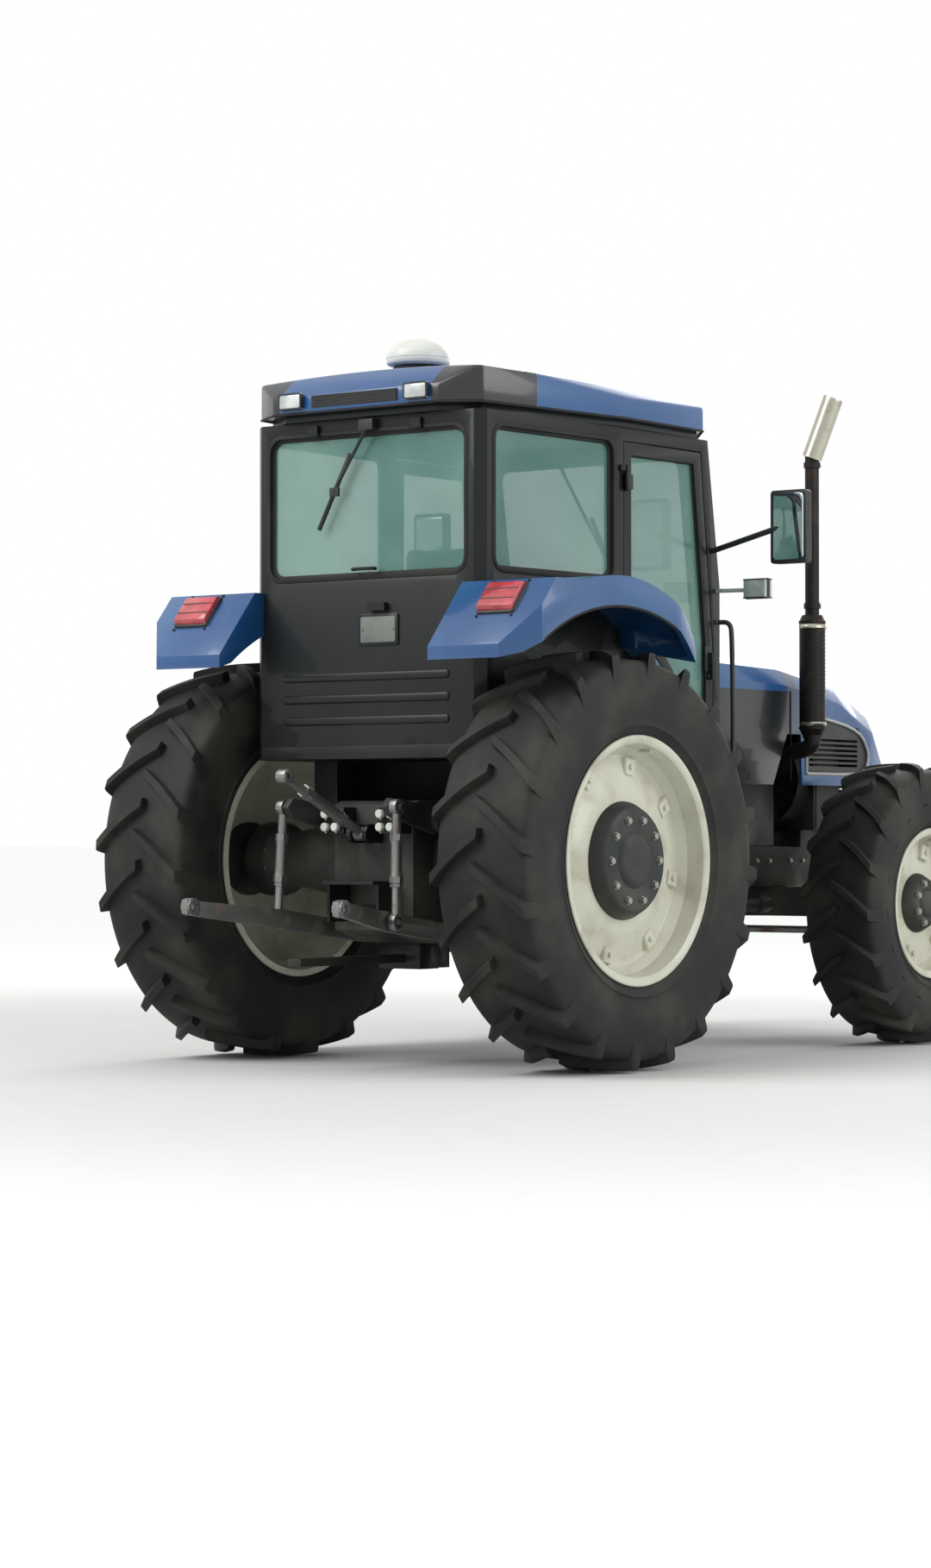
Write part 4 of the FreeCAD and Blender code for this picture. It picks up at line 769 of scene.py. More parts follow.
def rim_outline(w):
    """Lip, bead seat, well and dish as one closed outline of (across, radius)."""
    half, seat, top = w["rim_half"], w["seat"], w["seat"] + w["flange"]
    inner, well = seat - 0.012, seat - w["well"] - 0.012
    face, dish = w["face"], w["face"] - w["rise"]
    eye = w["eye"]
    return [
        (-half + 0.001, top - 0.002), (-half + 0.009, top - 0.001), (-half + 0.0105, seat),
        (half - 0.0105, seat), (half - 0.009, top - 0.001), (half - 0.005, top),
        (half - 0.001, top - 0.003), (half, top - 0.009),
        (half - 0.003, inner + 0.008), (half - 0.012, inner - 0.002), (half - 0.04, inner - 0.008),
        (dish + 0.045, inner - 0.012), (dish + 0.02, well + 0.016), (dish + 0.004, well + 0.004),
        (dish, well - 0.008), (dish + 0.003, well - 0.03), (face - 0.006, eye + 0.05), (face, eye + 0.02),
        (face, w["neck"]), (face - w["thick"], w["neck"]), (face - w["thick"], eye + 0.02),
        (dish - w["thick"], well - 0.012), (dish - w["thick"] - 0.03, well), (-half + 0.06, inner - 0.006),
        (-half + 0.002, inner + 0.006),
    ]


def hub_outline(w):
    """Flange, neck, nut face and cap of the cast hub, as (across, radius)."""
    face, front, outer, neck = w["face"], w["hub_face"], w["hub"], w["neck"]
    return [
        (w["flange_face"], 0.004), (w["flange_face"], neck * 0.8), (face - w["thick"] - 0.04, neck * 0.8),
        (face - w["thick"] - 0.03, w["inner_flange"]), (face - w["thick"], w["inner_flange"]),
        (face - w["thick"], neck), (face, neck), (face, outer), (face + 0.012, outer - 0.002),
        (front - 0.016, outer - 0.024), (front - 0.004, outer - 0.034), (front, outer - 0.046),
        (front, outer * 0.5), (front - 0.003, outer * 0.47), (front + 0.004, outer * 0.44),
        (front + 0.010, outer * 0.4), (front + 0.014, outer * 0.33), (front + 0.014, 0.004),
    ]


def nuts_and_cap(w, centre, way):
    """The ring of wheel nuts, and the small bolts of the hub's cap inside it."""
    def build(shape):
        for turns, across, radius, size in (
                (ring_of(w["nuts"], 0.5), w["hub_face"] - 0.001, w["hub"] * 0.7, 0.017),
                (ring_of(6), w["hub_face"] + 0.003, w["hub"] * 0.29, 0.0095)):
            for turn in turns:
                nut(shape, on_wheel(centre, way, turn, across, radius), (0, way, 0), size)

    return build


def cleats(w, centre, way):
    """Cleat plates with a bolt each, and the valve beside one of them."""
    out, dish, well = Vector((0, way, 0)), w["face"] - w["rise"], w["seat"] - w["well"] - 0.012

    def build(shape):
        for turn in ring_of(w["cleats"], 0.25):
            ray = Vector((math.sin(turn), 0, math.cos(turn)))
            along = Vector((math.cos(turn), 0, -math.sin(turn)))
            rings = []
            for across, wide in ((dish - 0.004, 0.036), (dish + 0.02, 0.033), (dish + 0.026, 0.028)):
                rings.append([
                    centre + ray * (well - 0.02 + r) + along * a + out * across
                    for a, r in ((-wide, -0.06), (wide, -0.06), (wide * 1.15, 0.012), (-wide * 1.15, 0.012))])
            skin(shape, rings, capped=True)
            nut(shape, centre + ray * (well - 0.045) + out * (dish + 0.025), out, 0.0125)
        valve = centre + Vector((0.25, 0, 0.968)) * (w["seat"] - 0.03)
        tube(shape, [valve + out * (w["rim_half"] - 0.09), valve + out * (w["rim_half"] - 0.03)], 0.006, 10)

    return build


for pattern, body, w, way in WHEELS:
    rim, hub = pattern.format("rim"), pattern.format("hub")
    centre, axis = wheel_centre(rim), (0, way, 0)
    hub_nodes = [hub] if w is REAR_WHEEL else [rim]
    add_piece(
        rim + "_rolled", lambda shape: turned(shape, rim_outline(w), centre, axis, RIM_STEPS, looped=True),
        rim_paint, body, [rim])
    add_piece(
        hub + "_cast", lambda shape: turned(shape, hub_outline(w), centre, axis, HUB_STEPS),
        hub_iron, body, hub_nodes)
    add_piece(hub + "_nuts", nuts_and_cap(w, centre, way), bolt_steel, body)
    add_piece(rim + "_cleats", cleats(w, centre, way), rim_paint, body, bevel=0.002)
print("four wheels with", REAR_WHEEL["nuts"], "and", FRONT_WHEEL["nuts"], "nuts")

# %% [markdown]
# ## Exhaust stack
# Hot gas leaves the side of the engine through an elbow, goes up a silencer and out of a bright tail
# that leans away from the cab. The silencer hides behind a guard of fine wire between two bands. It
# starts as a curved grid of faces. Each face between the bands is inset by nothing and its middle
# deleted, so that only the grid's lines are left, and a solidify modifier gives them depth.

# %% Stack sizes
STACK = Vector((1.335, -0.5, 0))
ELBOW_Z = 1.48
SILENCER_FOOT = 1.56
SILENCER_TOP = 2.18
TAIL_FOOT = 2.98
TAIL_LEAN = Vector((0.12, -0.35, 1)).normalized()
TAIL_LENGTH = 0.325
TAIL_RADIUS = 0.052
PIPE_RADIUS = 0.0425
SHEET_THICKNESS = 0.0012
CLAMPS = (
    # height, radius
    (SILENCER_FOOT - 0.012, 0.0485), (SILENCER_TOP + 0.03, PIPE_RADIUS), (TAIL_FOOT - 0.05, PIPE_RADIUS),
)


def at_stack(z):
    """A point on the stack's middle line."""
    return STACK + Vector((0, 0, z))


def stack(shape):
    elbow = [STACK + Vector((0, 0.314, ELBOW_Z)), at_stack(ELBOW_Z), at_stack(SILENCER_FOOT + 0.03)]
    tube(shape, bend(elbow, 14), PIPE_RADIUS, 28)
    turned(shape, [
        (0, 0.040), (0.004, 0.052), (0.03, 0.064), (0.034, 0.069), (0.044, 0.069), (0.048, 0.066),
        (0.572, 0.066), (0.576, 0.069), (0.586, 0.069), (0.59, 0.064), (0.616, 0.052), (0.62, 0.036),
    ], at_stack(SILENCER_FOOT), UP, 48)
    tube(shape, [at_stack(SILENCER_TOP - 0.01), at_stack(TAIL_FOOT + 0.03)], 0.036, 28)
    for z, radius in CLAMPS:
        turned(shape, [(0, radius - 0.006), (0, radius), (0.028, radius), (0.028, radius - 0.006)],
               at_stack(z), UP, 32, looped=True)
        ear = at_stack(z + 0.024) + Vector((radius + 0.02, 0.012, 0))
        block(shape, at_stack(z + 0.004) + Vector((0.03, -0.012, 0)), ear)
        nut(shape, at_stack(z + 0.014) + Vector((radius + 0.006, -0.012, 0)), (0, -1, 0), 0.008)


def open_cells(shape, cells, line_width):
    """Inset each of the faces by a line's width and delete its middle."""
    bmesh.ops.inset_individual(shape, faces=cells, thickness=line_width)
    bmesh.ops.delete(shape, geom=cells, context="FACES")


def guard(shape):
    """Wire mesh between two bands, round the outer two thirds of the silencer."""
    rows, columns, radius = 26, 30, 0.0728
    first, whole = -205, 230
    turns = [math.radians(first + whole * column / columns) for column in range(columns + 1)]
    rings = []
    for row in range(rows + 1):
        z = SILENCER_FOOT + 0.05 + (SILENCER_TOP - SILENCER_FOOT - 0.1) * row / rows
        rings.append([STACK + Vector((radius * math.cos(a), radius * math.sin(a), z)) for a in turns])
    skin(shape, rings, closed=False)
    cells = [face for number, face in enumerate(shape.faces) if 0 < number // columns < rows - 1]
    open_cells(shape, cells, 0.0)


def tail(shape):
    wall, lip = TAIL_RADIUS - 0.004, TAIL_RADIUS
    turned(shape, [
        (0, wall - 0.002), (0, lip - 0.001), (TAIL_LENGTH - 0.02, lip - 0.001), (TAIL_LENGTH - 0.008, lip),
        (TAIL_LENGTH - 0.001, lip - 0.002), (TAIL_LENGTH - 0.003, wall), (TAIL_LENGTH - 0.2, wall - 0.002),
    ], STACK + Vector((0, 0, TAIL_FOOT)), TAIL_LEAN, 40, looped=True)


add_piece("exhaust_stack", stack, hot_steel, stands_for=["exhaust"])
add_piece("exhaust_tail", tail, chrome, stands_for=["exhaust"])
guard_wire = add_piece("exhaust_guard", guard, chrome, stands_for=["exhaust"])
guard_wire.modifiers.new("sheet", "SOLIDIFY").thickness = SHEET_THICKNESS
print("stack up to", round((STACK + TAIL_LEAN * TAIL_LENGTH).z + TAIL_FOOT, 3))

# %% [markdown]
# ## Roof receiver
# The pale dome on the roof is one moulding with a seam round its rim, on a black foot. A short outline
# with rounded corners, turned once, is all it needs.

# %% Dome
DOME = Vector((-1.29, 0, 3.162))


def dome(shape):
    turned(shape, [
        (0.058, 0.09), (0.06, 0.122), (0.066, 0.142), (0.074, 0.1475), (0.088, 0.148), (0.09, 0.1455),
        (0.093, 0.1455), (0.095, 0.148), (0.112, 0.147), (0.132, 0.138), (0.15, 0.124), (0.164, 0.104),
        (0.176, 0.076), (0.185, 0.04), (0.188, 0.004),
    ], DOME, UP, 72)


def dome_foot(shape):
    turned(shape, [(0.0, 0.105), (0.0, 0.112), (0.05, 0.118), (0.06, 0.112), (0.06, 0.02)],
           DOME, UP, 48)
    for a in ring_of(4, 0.5):
        nut(shape, DOME + Vector((0.126 * math.cos(a), 0.126 * math.sin(a), 0.006)), UP, 0.008)


add_piece("roof_dome_moulded", dome, white_plastic, stands_for=["roof_dome"], crease=50)
add_piece("roof_dome_foot", dome_foot, black_plastic, stands_for=["roof_dome"])
print("dome at", tuple(round(value, 3) for value in DOME))

# %% [markdown]
# ## Window seals
# Safety glass sits in a rubber profile that fills the gap to the metal and laps both. A loop of points
# round a rounded rectangle, each with the direction out of it, carries one small section. The same
# recipe serves the flat rear window, the side windows on their slightly tapered wall and the raked
# windscreen, because only the function that places a point differs. The second recipe turns such a
# loop into a plate: each step widens it a little and lifts it out of the surface.

# %% Loops and seals
CAB_REAR = -1.68
SIDE_REAR_X = -1.64
SIDE_REAR_Y = 0.664
SIDE_TAPER = 0.0371
SCREEN_HEAD_X = 0.07
SCREEN_HEAD_Z = 2.95
SCREEN_RAKE = 0.15
# left or rear edge, right or front edge, foot, head, corner radius
REAR_WINDOW = (-0.569, 0.569, 2.23, 2.885, 0.07)
WINDSCREEN = (-0.55, 0.55, 1.79, 2.885, 0.07)
SIDE_WINDOW = (-1.585, -0.712, 2.24, 2.885, 0.06)
GLASS_DEPTH = 0.0235
SEAL_SECTION = (
    # outwards in the window's plane, out of the wall
    (-0.020, -GLASS_DEPTH), (-0.016, -0.018), (-0.005, -0.016), (-0.003, 0.003), (0.012, 0.004),
    (0.016, 0.0005), (0.001, -0.001), (-0.0005, -GLASS_DEPTH),
)


def rounded_loop(u0, u1, v0, v1, radius, steps=7):
    """Points round a rounded rectangle, each with the direction out of it."""
    loop = []
    corners = ((u1 - radius, v1 - radius, 0), (u0 + radius, v1 - radius, 90),
               (u0 + radius, v0 + radius, 180), (u1 - radius, v0 + radius, 270))
    for u, v, start in corners:
        for step in range(steps + 1):
            a = math.radians(start + 90 * step / steps)
            loop.append((u + radius * math.cos(a), v + radius * math.sin(a), math.cos(a), math.sin(a)))
    return loop


def framed(shape, loop, place, section):
    """A section carried round a loop, where place(u, v, w) gives the point w out of the surface."""
    rings = [[place(u + du * o, v + dv * o, w) for o, w in section] for u, v, du, dv in loop]
    skin(shape, rings, looped=True)


def raised(shape, loop, place, steps):
    """A closed plate from copies of the loop, each widened by o and lifted by w."""
    skin(shape, [[place(u + du * o, v + dv * o, w) for u, v, du, dv in loop] for o, w in steps], capped=True)


def facing_back(x):
    """Places a point on an upright plane that faces back at x."""
    return lambda u, v, w: (x - w, u, v)


rear_wall = facing_back(CAB_REAR)


def side_wall(side):
    return lambda u, v, w: (u, side * (SIDE_REAR_Y + (u - SIDE_REAR_X) * SIDE_TAPER + w), v)


def screen_plane(u, v, w):
    return SCREEN_HEAD_X + (SCREEN_HEAD_Z - v) * SCREEN_RAKE + w, u, v


def all_seals(shape):
    framed(shape, rounded_loop(*REAR_WINDOW), rear_wall, SEAL_SECTION)
    framed(shape, rounded_loop(*WINDSCREEN), screen_plane, SEAL_SECTION)
    for _, side in SIDES:
        framed(shape, rounded_loop(*SIDE_WINDOW), side_wall(side), SEAL_SECTION)


add_piece("window_seals", all_seals, seal_rubber, crease=50)
print("four seals of", len(SEAL_SECTION), "points")

# %% [markdown]
# The doors' panes have a curved lower edge that follows the tyre arch, so their seal is a rubber bead
# along the pane's own outline. It rides on the door and swings with it.

# %% Door beads and locks
REAR_AXLE = Vector((-1.23, 0, 0.94))
DOOR_PANE_ARCH = 1.343
DOOR_PANE_REAR = -0.57
DOOR_PANE_FRONT = 0.055
DOOR_PANE_HEAD = 2.827
DOOR_PANE_FOOT = 1.358
DOOR_FACE = 0.6835
LOCK_FACE = 0.7035
PULL_RAIL = (
    (-0.5, 0.66, 2.05), (-0.5, 0.625, 2.05), (-0.2, 0.625, 2.0), (0.02, 0.625, 2.0), (0.02, 0.66, 2.0),
)


def arc(radius, start, end, y, steps=28):
    """Points at a radius round the rear axle, from one angle above the ground to another."""
    angles = [math.radians(start + (end - start) * step / steps) for step in range(steps + 1)]
    return [REAR_AXLE + Vector((radius * math.cos(a), y, radius * math.sin(a))) for a in angles]


def door_bead(side):
    y = side * DOOR_FACE
    foot_turn = math.degrees(math.asin((DOOR_PANE_FOOT - REAR_AXLE.z) / DOOR_PANE_ARCH))
    rear_turn = math.degrees(math.acos((DOOR_PANE_REAR - REAR_AXLE.x) / DOOR_PANE_ARCH))
    head = [(DOOR_PANE_REAR, y, DOOR_PANE_HEAD), (-0.05, y, DOOR_PANE_HEAD)]
    front = [(DOOR_PANE_FRONT, y, 1.95), (DOOR_PANE_FRONT, y, DOOR_PANE_FOOT)]
    path = head + front + arc(DOOR_PANE_ARCH, foot_turn, rear_turn, y)
    return lambda shape: tube(shape, path + [path[0]], 0.0065, 8)


def door_lock(side):
    """The lock's plate and barrel outside, and the pull rail inside."""
    def build(shape):
        block(shape, (0.045, side * 0.699, 1.84), (0.105, side * LOCK_FACE, 1.96))
        barrel = [(0, 0.012), (0.006, 0.012), (0.008, 0.009)]
        turned(shape, barrel, (0.075, side * LOCK_FACE, 1.815), (0, side, 0), 20)
        tube(shape, bend([(x, side * y, z) for x, y, z in PULL_RAIL], 6), 0.011, 10)
    return build


for name, side in SIDES:
    door = f"door_{name}"
    add_piece(door + "_bead", door_bead(side), seal_rubber, door)
    add_piece(door + "_lock", door_lock(side), black_plastic, door, bevel=0.001)
print("door pane arch", DOOR_PANE_ARCH)

# %% [markdown]
# ## Outside of the cab
# What a driver touches and what sheds rain: grab rails beside the doors, a gutter under the roof, a
# catch and hinges on the rear window, pressed ribs in the panel below it and a blank plate with its
# lamp. Rails are tubes along a rounded path; ribs are long rounded bars pressed out of the panel.

# %% Rails, gutter, rear panel
ROOF_HALF = ((-1.76, 0.48), (-1.65, 0.65), (-0.67, 0.765), (-0.03, 0.745), (0.2, 0.56))
PLATE = Vector((CAB_REAR, -0.08, 1.985))
CATCH_HEIGHT = 2.262


def rails(shape):
    for _, side in SIDES:
        low, high = Vector((0.222, side * 0.66, 1.42)), Vector((0.165, side * 0.69, 2.08))
        out, rise = Vector((0.02, side * 0.075, 0)), Vector((0, 0, 0.08))
        path = [low, low + out * 0.9, low + out + rise, high + out - rise, high + out * 0.9, high]
        tube(shape, bend(path, 8), 0.012, 12)
        for spot in (low, high):
            turned(shape, [(0, 0.02), (0.006, 0.02), (0.01, 0.015)], spot, (0.2, side, 0), 20)


def gutter(shape):
    left = [Vector((x, y - 0.004, 2.9835)) for x, y in ROOF_HALF]
    right = [Vector((x, -y, z)) for x, y, z in reversed(left)]
    tube(shape, left + right + [left[0]], 0.006, 8)


def on_plate(u, v, w):
    """A point counted from the middle of the blank plate."""
    return rear_wall(PLATE.y + u, PLATE.z + v, w)


def rear_panel(shape):
    for z in (1.56, 1.66, 1.76):
        rib = rounded_loop(-0.48, 0.48, z, z + 0.03, 0.014)
        raised(shape, rib, rear_wall, ((0.006, -0.001), (0.002, 0.006), (-0.004, 0.009)))
    for y in (-0.3, 0.3):
        block(shape, (CAB_REAR - 0.018, y - 0.03, 2.886), (CAB_REAR + 0.002, y + 0.03, 2.93))
        tube(shape, [(CAB_REAR - 0.012, y - 0.036, 2.888), (CAB_REAR - 0.012, y + 0.036, 2.888)], 0.009, 12)
    catch = ((0, -0.06), (0.03, -0.06), (0.03, 0.06), (0, 0.06))
    tube(shape, bend([(CAB_REAR - out, y, CATCH_HEIGHT) for out, y in catch], 6), 0.008, 10)
    holder = rounded_loop(-0.115, 0.115, -0.072, 0.072, 0.012)
    raised(shape, holder, on_plate, ((0.0, -0.001), (0.0, 0.006), (-0.004, 0.008)))
    lamp = PLATE + Vector((-0.026, -0.05, 0.085))
    block(shape, lamp, lamp + Vector((0.027, 0.1, 0.035)))


def plate(shape):
    blank = rounded_loop(-0.1, 0.1, -0.058, 0.058, 0.01)
    raised(shape, blank, on_plate, ((0.0, 0.006), (0.0, 0.0095), (-0.003, 0.0105)))
    for y in (-0.09, 0.09):
        nut(shape, PLATE + Vector((-0.0095, y, 0)), BEHIND, 0.006)


worn_plate = plastic("worn_plate", colour(118, 122, 116), colour(72, 74, 68))
add_piece("grab_rails", rails, black_plastic)
add_piece("roof_gutter", gutter, seal_rubber)
add_piece("rear_panel_fittings", rear_panel, black_paint, bevel=0.002)
add_piece("blank_plate", plate, worn_plate)
print("blank plate at", tuple(round(value, 3) for value in PLATE))

# %% [markdown]
# ## Roof
# The cap carries a hatch, and an intake for the cab's air between the rear work lamps. The hatch is a
# rounded rectangle in a few steps, whose rim stands a little above its middle as on a pressed lid; the
# intake is a row of slats that stand a few millimetres proud of a dark plate. The work lamps get
# bezels, and the marker lamps a band and two caps each.

# %% Hatch, intake and lamp bezels
ROOF_TOP = 3.17
ROOF_FALL = 0.0605
HATCH = (-0.86, -0.26, -0.33, 0.33, 0.07)
HATCH_STEPS = ((0.005, 3.176), (-0.008, 3.182), (-0.05, 3.182), (-0.058, 3.178))
LAMP_WIDTH = 0.13
BEZEL_SECTION = ((-0.005, 0.0), (-0.004, 0.003), (0.003, 0.003), (0.004, -0.02))
SLATS = 6
SLAT_PITCH = 0.0092


def crown(y):
    """Height of the roof's crowned top at a distance from its middle."""
    return ROOF_TOP - ROOF_FALL * y * y


def hatch(shape):
    loop = rounded_loop(*HATCH)
    foot = [(u + du * 0.01, v + dv * 0.01, crown(v) - 0.012) for u, v, du, dv in loop]
    rims = [[(u + du * o, v + dv * o, z) for u, v, du, dv in loop] for o, z in HATCH_STEPS]
    skin(shape, [foot] + rims, capped=True)


def intake(shape):
    block(shape, (-1.7645, -0.25, 3.005), (-1.758, 0.25, 3.06))
    for number in range(SLATS):
        z = 3.009 + number * SLAT_PITCH
        block(shape, (-1.77, -0.245, z), (-1.76, 0.245, z + 0.004))
    for x, out, y in ((-1.782, -1, 0.3), (0.222, 1, 0.38)):
        for _, side in SIDES:
            y0, y1 = sorted((side * y, side * (y + LAMP_WIDTH)))
            loop = rounded_loop(y0, y1, 3.005, 3.075, 0.012, 4)
            framed(shape, loop, lambda u, v, w: (x + out * w, u, v), BEZEL_SECTION)


def marker_bands(shape):
    """A band round each marker lamp's middle and a cap plate above and below it."""
    for _, side in SIDES:
        block(shape, (0.176, side * 0.846, 2.186), (0.199, side * 0.974, 2.284))
        for z in (2.188, 2.276):
            block(shape, (0.152, side * 0.848, z), (0.223, side * 0.972, z + 0.006))


add_piece("roof_hatch", hatch, blue_paint, crease=28)
add_piece("roof_intake_and_bezels", intake, black_plastic)
add_piece("marker_lamp_bands", marker_bands, black_plastic, bevel=0.002)
print("crown at the roof's middle", crown(0))

# %% [markdown]
# ## Fenders and tail lamps
# A rubber strip guards the fender's lower lip, and the tail lamps have a dark surround and two bars
# across the lens. The lamp faces lie on the sloping tail, so their points are placed along the slope and
# out of it.

# %% Fender lips and lamp surrounds
TAIL_TOP = Vector((-1.745, 0, 2.175))
TAIL_ALONG = Vector((-0.6465, 0, -0.7629))
TAIL_OUT = Vector((-0.7629, 0, 0.6465))
LAMP_SPAN = (0.79, 0.98)
LIP_RADIUS = 1.1335
LIP_TURN = (68, 122)
LIP_SPREAD = 1.1135


def on_tail(side):
    return lambda u, v, w: TAIL_TOP + TAIL_ALONG * v + TAIL_OUT * w + Vector((0, side * u, 0))


def lips(shape):
    for _, side in SIDES:
        tube(shape, arc(LIP_RADIUS, *LIP_TURN, side * LIP_SPREAD), 0.0085, 8)


def surrounds(shape):
    section = ((-0.001, 0.0), (-0.001, 0.014), (0.006, 0.012), (0.01, 0.0))
    for _, side in SIDES:
        place = on_tail(side)
        framed(shape, rounded_loop(*LAMP_SPAN, 0.03, 0.2, 0.012, 4), place, section)
        for v in (0.086, 0.143):
            ends = [place(LAMP_SPAN[0] + 0.004, v, 0.033), place(LAMP_SPAN[1] - 0.004, v, 0.033)]
            tube(shape, ends, 0.0035, 8)
        for u in LAMP_SPAN:
            for v in (0.012, 0.218):
                nut(shape, place(u, v, 0.0), TAIL_OUT, 0.007)


add_piece("fender_lips", lips, seal_rubber)
add_piece("tail_lamp_surrounds", surrounds, black_plastic)
print("lamp on the tail between", LAMP_SPAN)

# %% [markdown]
# ## Hood
# The hood is one lifting shell. Its top and nose are blue. The rear of its lower sides is black, which is
# painted shade, and a mask on the object's own coordinates paints it without a second mesh. The roof's dark
# rear corners are dark panels from the same recipe with another mask. A silver trim runs round each side
# grille, a raised spine stiffens the top, and a punched sheet closes the mouth behind its bars.

# %% Two-tone paint and painted shade
ROOF_CORNER_X = -1.3
ROOF_CORNER_Y = 0.44
# The next two limits bound the painted shade on the hood's lower rear sides. The black serves that shade and
# the roof's dark corners.
SHADE_PANEL_FRONT = 1.3
SHADE_PANEL_TOP = 1.79
PANEL_AND_SHADE_BLACK = colour(11, 18, 24)
PAINT_EDGE = 0.004


def blue_with_panel_and_shade(finish, panel_and_shade):
    """Blue enamel with black where the given share is 1: painted shade on the hood's lower sides, a dark
    panel at the roof's rear corners.
    """
    clouds = finish.step(finish.noise(1.3, 4), 0.35, 0.7)
    blue = finish.mix(clouds * 0.45, BLUE, FADED_BLUE)
    base, dust = dusty(finish, finish.mix(panel_and_shade, blue, PANEL_AND_SHADE_BLACK), 2.4, 0.22)
    return finish.coat(
        Base_Color=base, Roughness=dust * 0.45 + 0.32, Coat_Weight=0.4 - dust * 0.35, Coat_Roughness=0.07,
        Normal=finish.bump(finish.noise(380.0, 1), 0.06, 0.001))


# The black on the hood's lower rear sides is painted shade.
hood_finish = Finish("hood_enamel")
rear_part = hood_finish.step(hood_finish.along("X"), SHADE_PANEL_FRONT, SHADE_PANEL_FRONT - PAINT_EDGE)
low_part = hood_finish.step(hood_finish.height, SHADE_PANEL_TOP, SHADE_PANEL_TOP - PAINT_EDGE)
nodes["hood"].data.materials[0] = blue_with_panel_and_shade(hood_finish, rear_part * low_part)

roof_finish = Finish("roof_enamel")
across = roof_finish.along("Y")
behind = roof_finish.step(roof_finish.along("X"), ROOF_CORNER_X, ROOF_CORNER_X - PAINT_EDGE)
outside = roof_finish.step(across * across, ROOF_CORNER_Y ** 2 - 0.002, ROOF_CORNER_Y ** 2 + 0.002)
nodes["roof_cap"].data.materials[0] = blue_with_panel_and_shade(roof_finish, behind * outside)
print("dark panel up to", SHADE_PANEL_TOP, "m and forward to", SHADE_PANEL_FRONT, "m")

# %% Trim, spine, mesh and bezels
HOOD_LINE = (
    # X, half width, top
    (0.285, 0.400, 1.965), (1.22, 0.394, 1.940), (1.80, 0.372, 1.860), (2.17, 0.352, 1.715),
    (2.37, 0.310, 1.485),
)
VENT = ((1.46, 1.37), (1.46, 1.635), (1.50, 1.675), (2.01, 1.615), (2.12, 1.505), (2.12, 1.43), (2.06, 1.37))
MOUTH = (-0.23, 0.23, 1.07, 1.325)
NOSE = 2.37
MESH_ROWS = 16
MESH_COLUMNS = 28
SPINE_ENDS = (0.31, 2.15)
SPINE_SECTION = (
    # across, rise
    (-0.105, 0), (-0.09, 0.014), (-0.084, 0.016), (0.084, 0.016), (0.09, 0.014), (0.105, 0),
)


def between(x, column):
    """The hood's half width or top at a place along it."""
    for here, there in zip(HOOD_LINE, HOOD_LINE[1:]):
        if x <= there[0]:
            return here[column] + (there[column] - here[column]) * (x - here[0]) / (there[0] - here[0])
    return HOOD_LINE[-1][column]


def vent_trim(shape):
    for _, side in SIDES:
        corners = [Vector((x, side * (between(x, 1) + 0.0015), z)) for x, z in VENT]
        start = corners[0].lerp(corners[1], 0.5)
        tube(shape, bend([start] + corners[1:] + [corners[0], corners[0], start], 5), 0.0085, 10)


def spine(shape):
    rings, (start, end) = [], SPINE_ENDS
    for step in range(25):
        x = start + (end - start) * step / 24
        fade = min(1.0, (x - start) / 0.04, (end - x) / 0.06)
        rings.append([(x, y, between(x, 2) - 0.004 + rise * fade) for y, rise in SPINE_SECTION])
    skin(shape, rings, capped=True)


def hood_rubber(shape):
    path = [(0.289, y, z) for y, z in ((-0.397, 1.32), (-0.397, 1.843), (-0.36, 1.92), (-0.274, 1.9615))]
    tube(shape, path + [(x, -y, z) for x, y, z in reversed(path)], 0.006, 8)
    for _, side in SIDES:
        block(shape, (0.78, side * 0.392, 1.335), (0.90, side * 0.408, 1.375))
        # A thin rubber seam runs up the front edge of the painted shade on the hood's side.
        seam = side * 0.3925
        tube(shape, [(SHADE_PANEL_FRONT, seam, 1.33), (SHADE_PANEL_FRONT, seam, SHADE_PANEL_TOP)], 0.003, 8)


def mouth_mesh(shape):
    y0, y1, z0, z1 = MOUTH
    ys = [y0 + (y1 - y0) * column / MESH_COLUMNS for column in range(MESH_COLUMNS + 1)]
    zs = [z0 + (z1 - z0) * row / MESH_ROWS for row in range(MESH_ROWS + 1)]
    skin(shape, [[(NOSE - 0.034, y, z) for y in ys] for z in zs], closed=False)
    shape.normal_update()
    open_cells(shape, list(shape.faces), 0.0045)


def on_nose(u, v, w):
    return NOSE + w, u, v


def nose_bezels(shape):
    for _, side in SIDES:
        y0, y1 = sorted((side * 0.06, side * 0.2))
        framed(shape, rounded_loop(y0, y1, 1.345, 1.42, 0.01, 4), on_nose,
               ((-0.006, 0.006), (-0.005, 0.009), (0.006, 0.007), (0.008, -0.001)))
    framed(shape, rounded_loop(*MOUTH, 0.012, 4), on_nose,
           ((-0.002, -0.006), (-0.002, 0.004), (0.012, 0.004), (0.015, -0.001)))


silver = enamel("silver_enamel", colour(168, 172, 170), colour(140, 144, 142), 0.35, 2.4, 0.25)
add_piece("hood_vent_trim", vent_trim, silver, "hood")
add_piece("hood_spine", spine, blue_paint, "hood", crease=40)
add_piece("hood_rubber_and_catches", hood_rubber, seal_rubber, "hood", bevel=0.0015)
mesh_sheet = add_piece("hood_mouth_mesh", mouth_mesh, black_plastic, "hood")
mesh_sheet.modifiers.new("sheet", "SOLIDIFY").thickness = SHEET_THICKNESS
add_piece("hood_bezels", nose_bezels, black_plastic, "hood")
print("hood line from", HOOD_LINE[0][2], "down to", HOOD_LINE[-1][2])

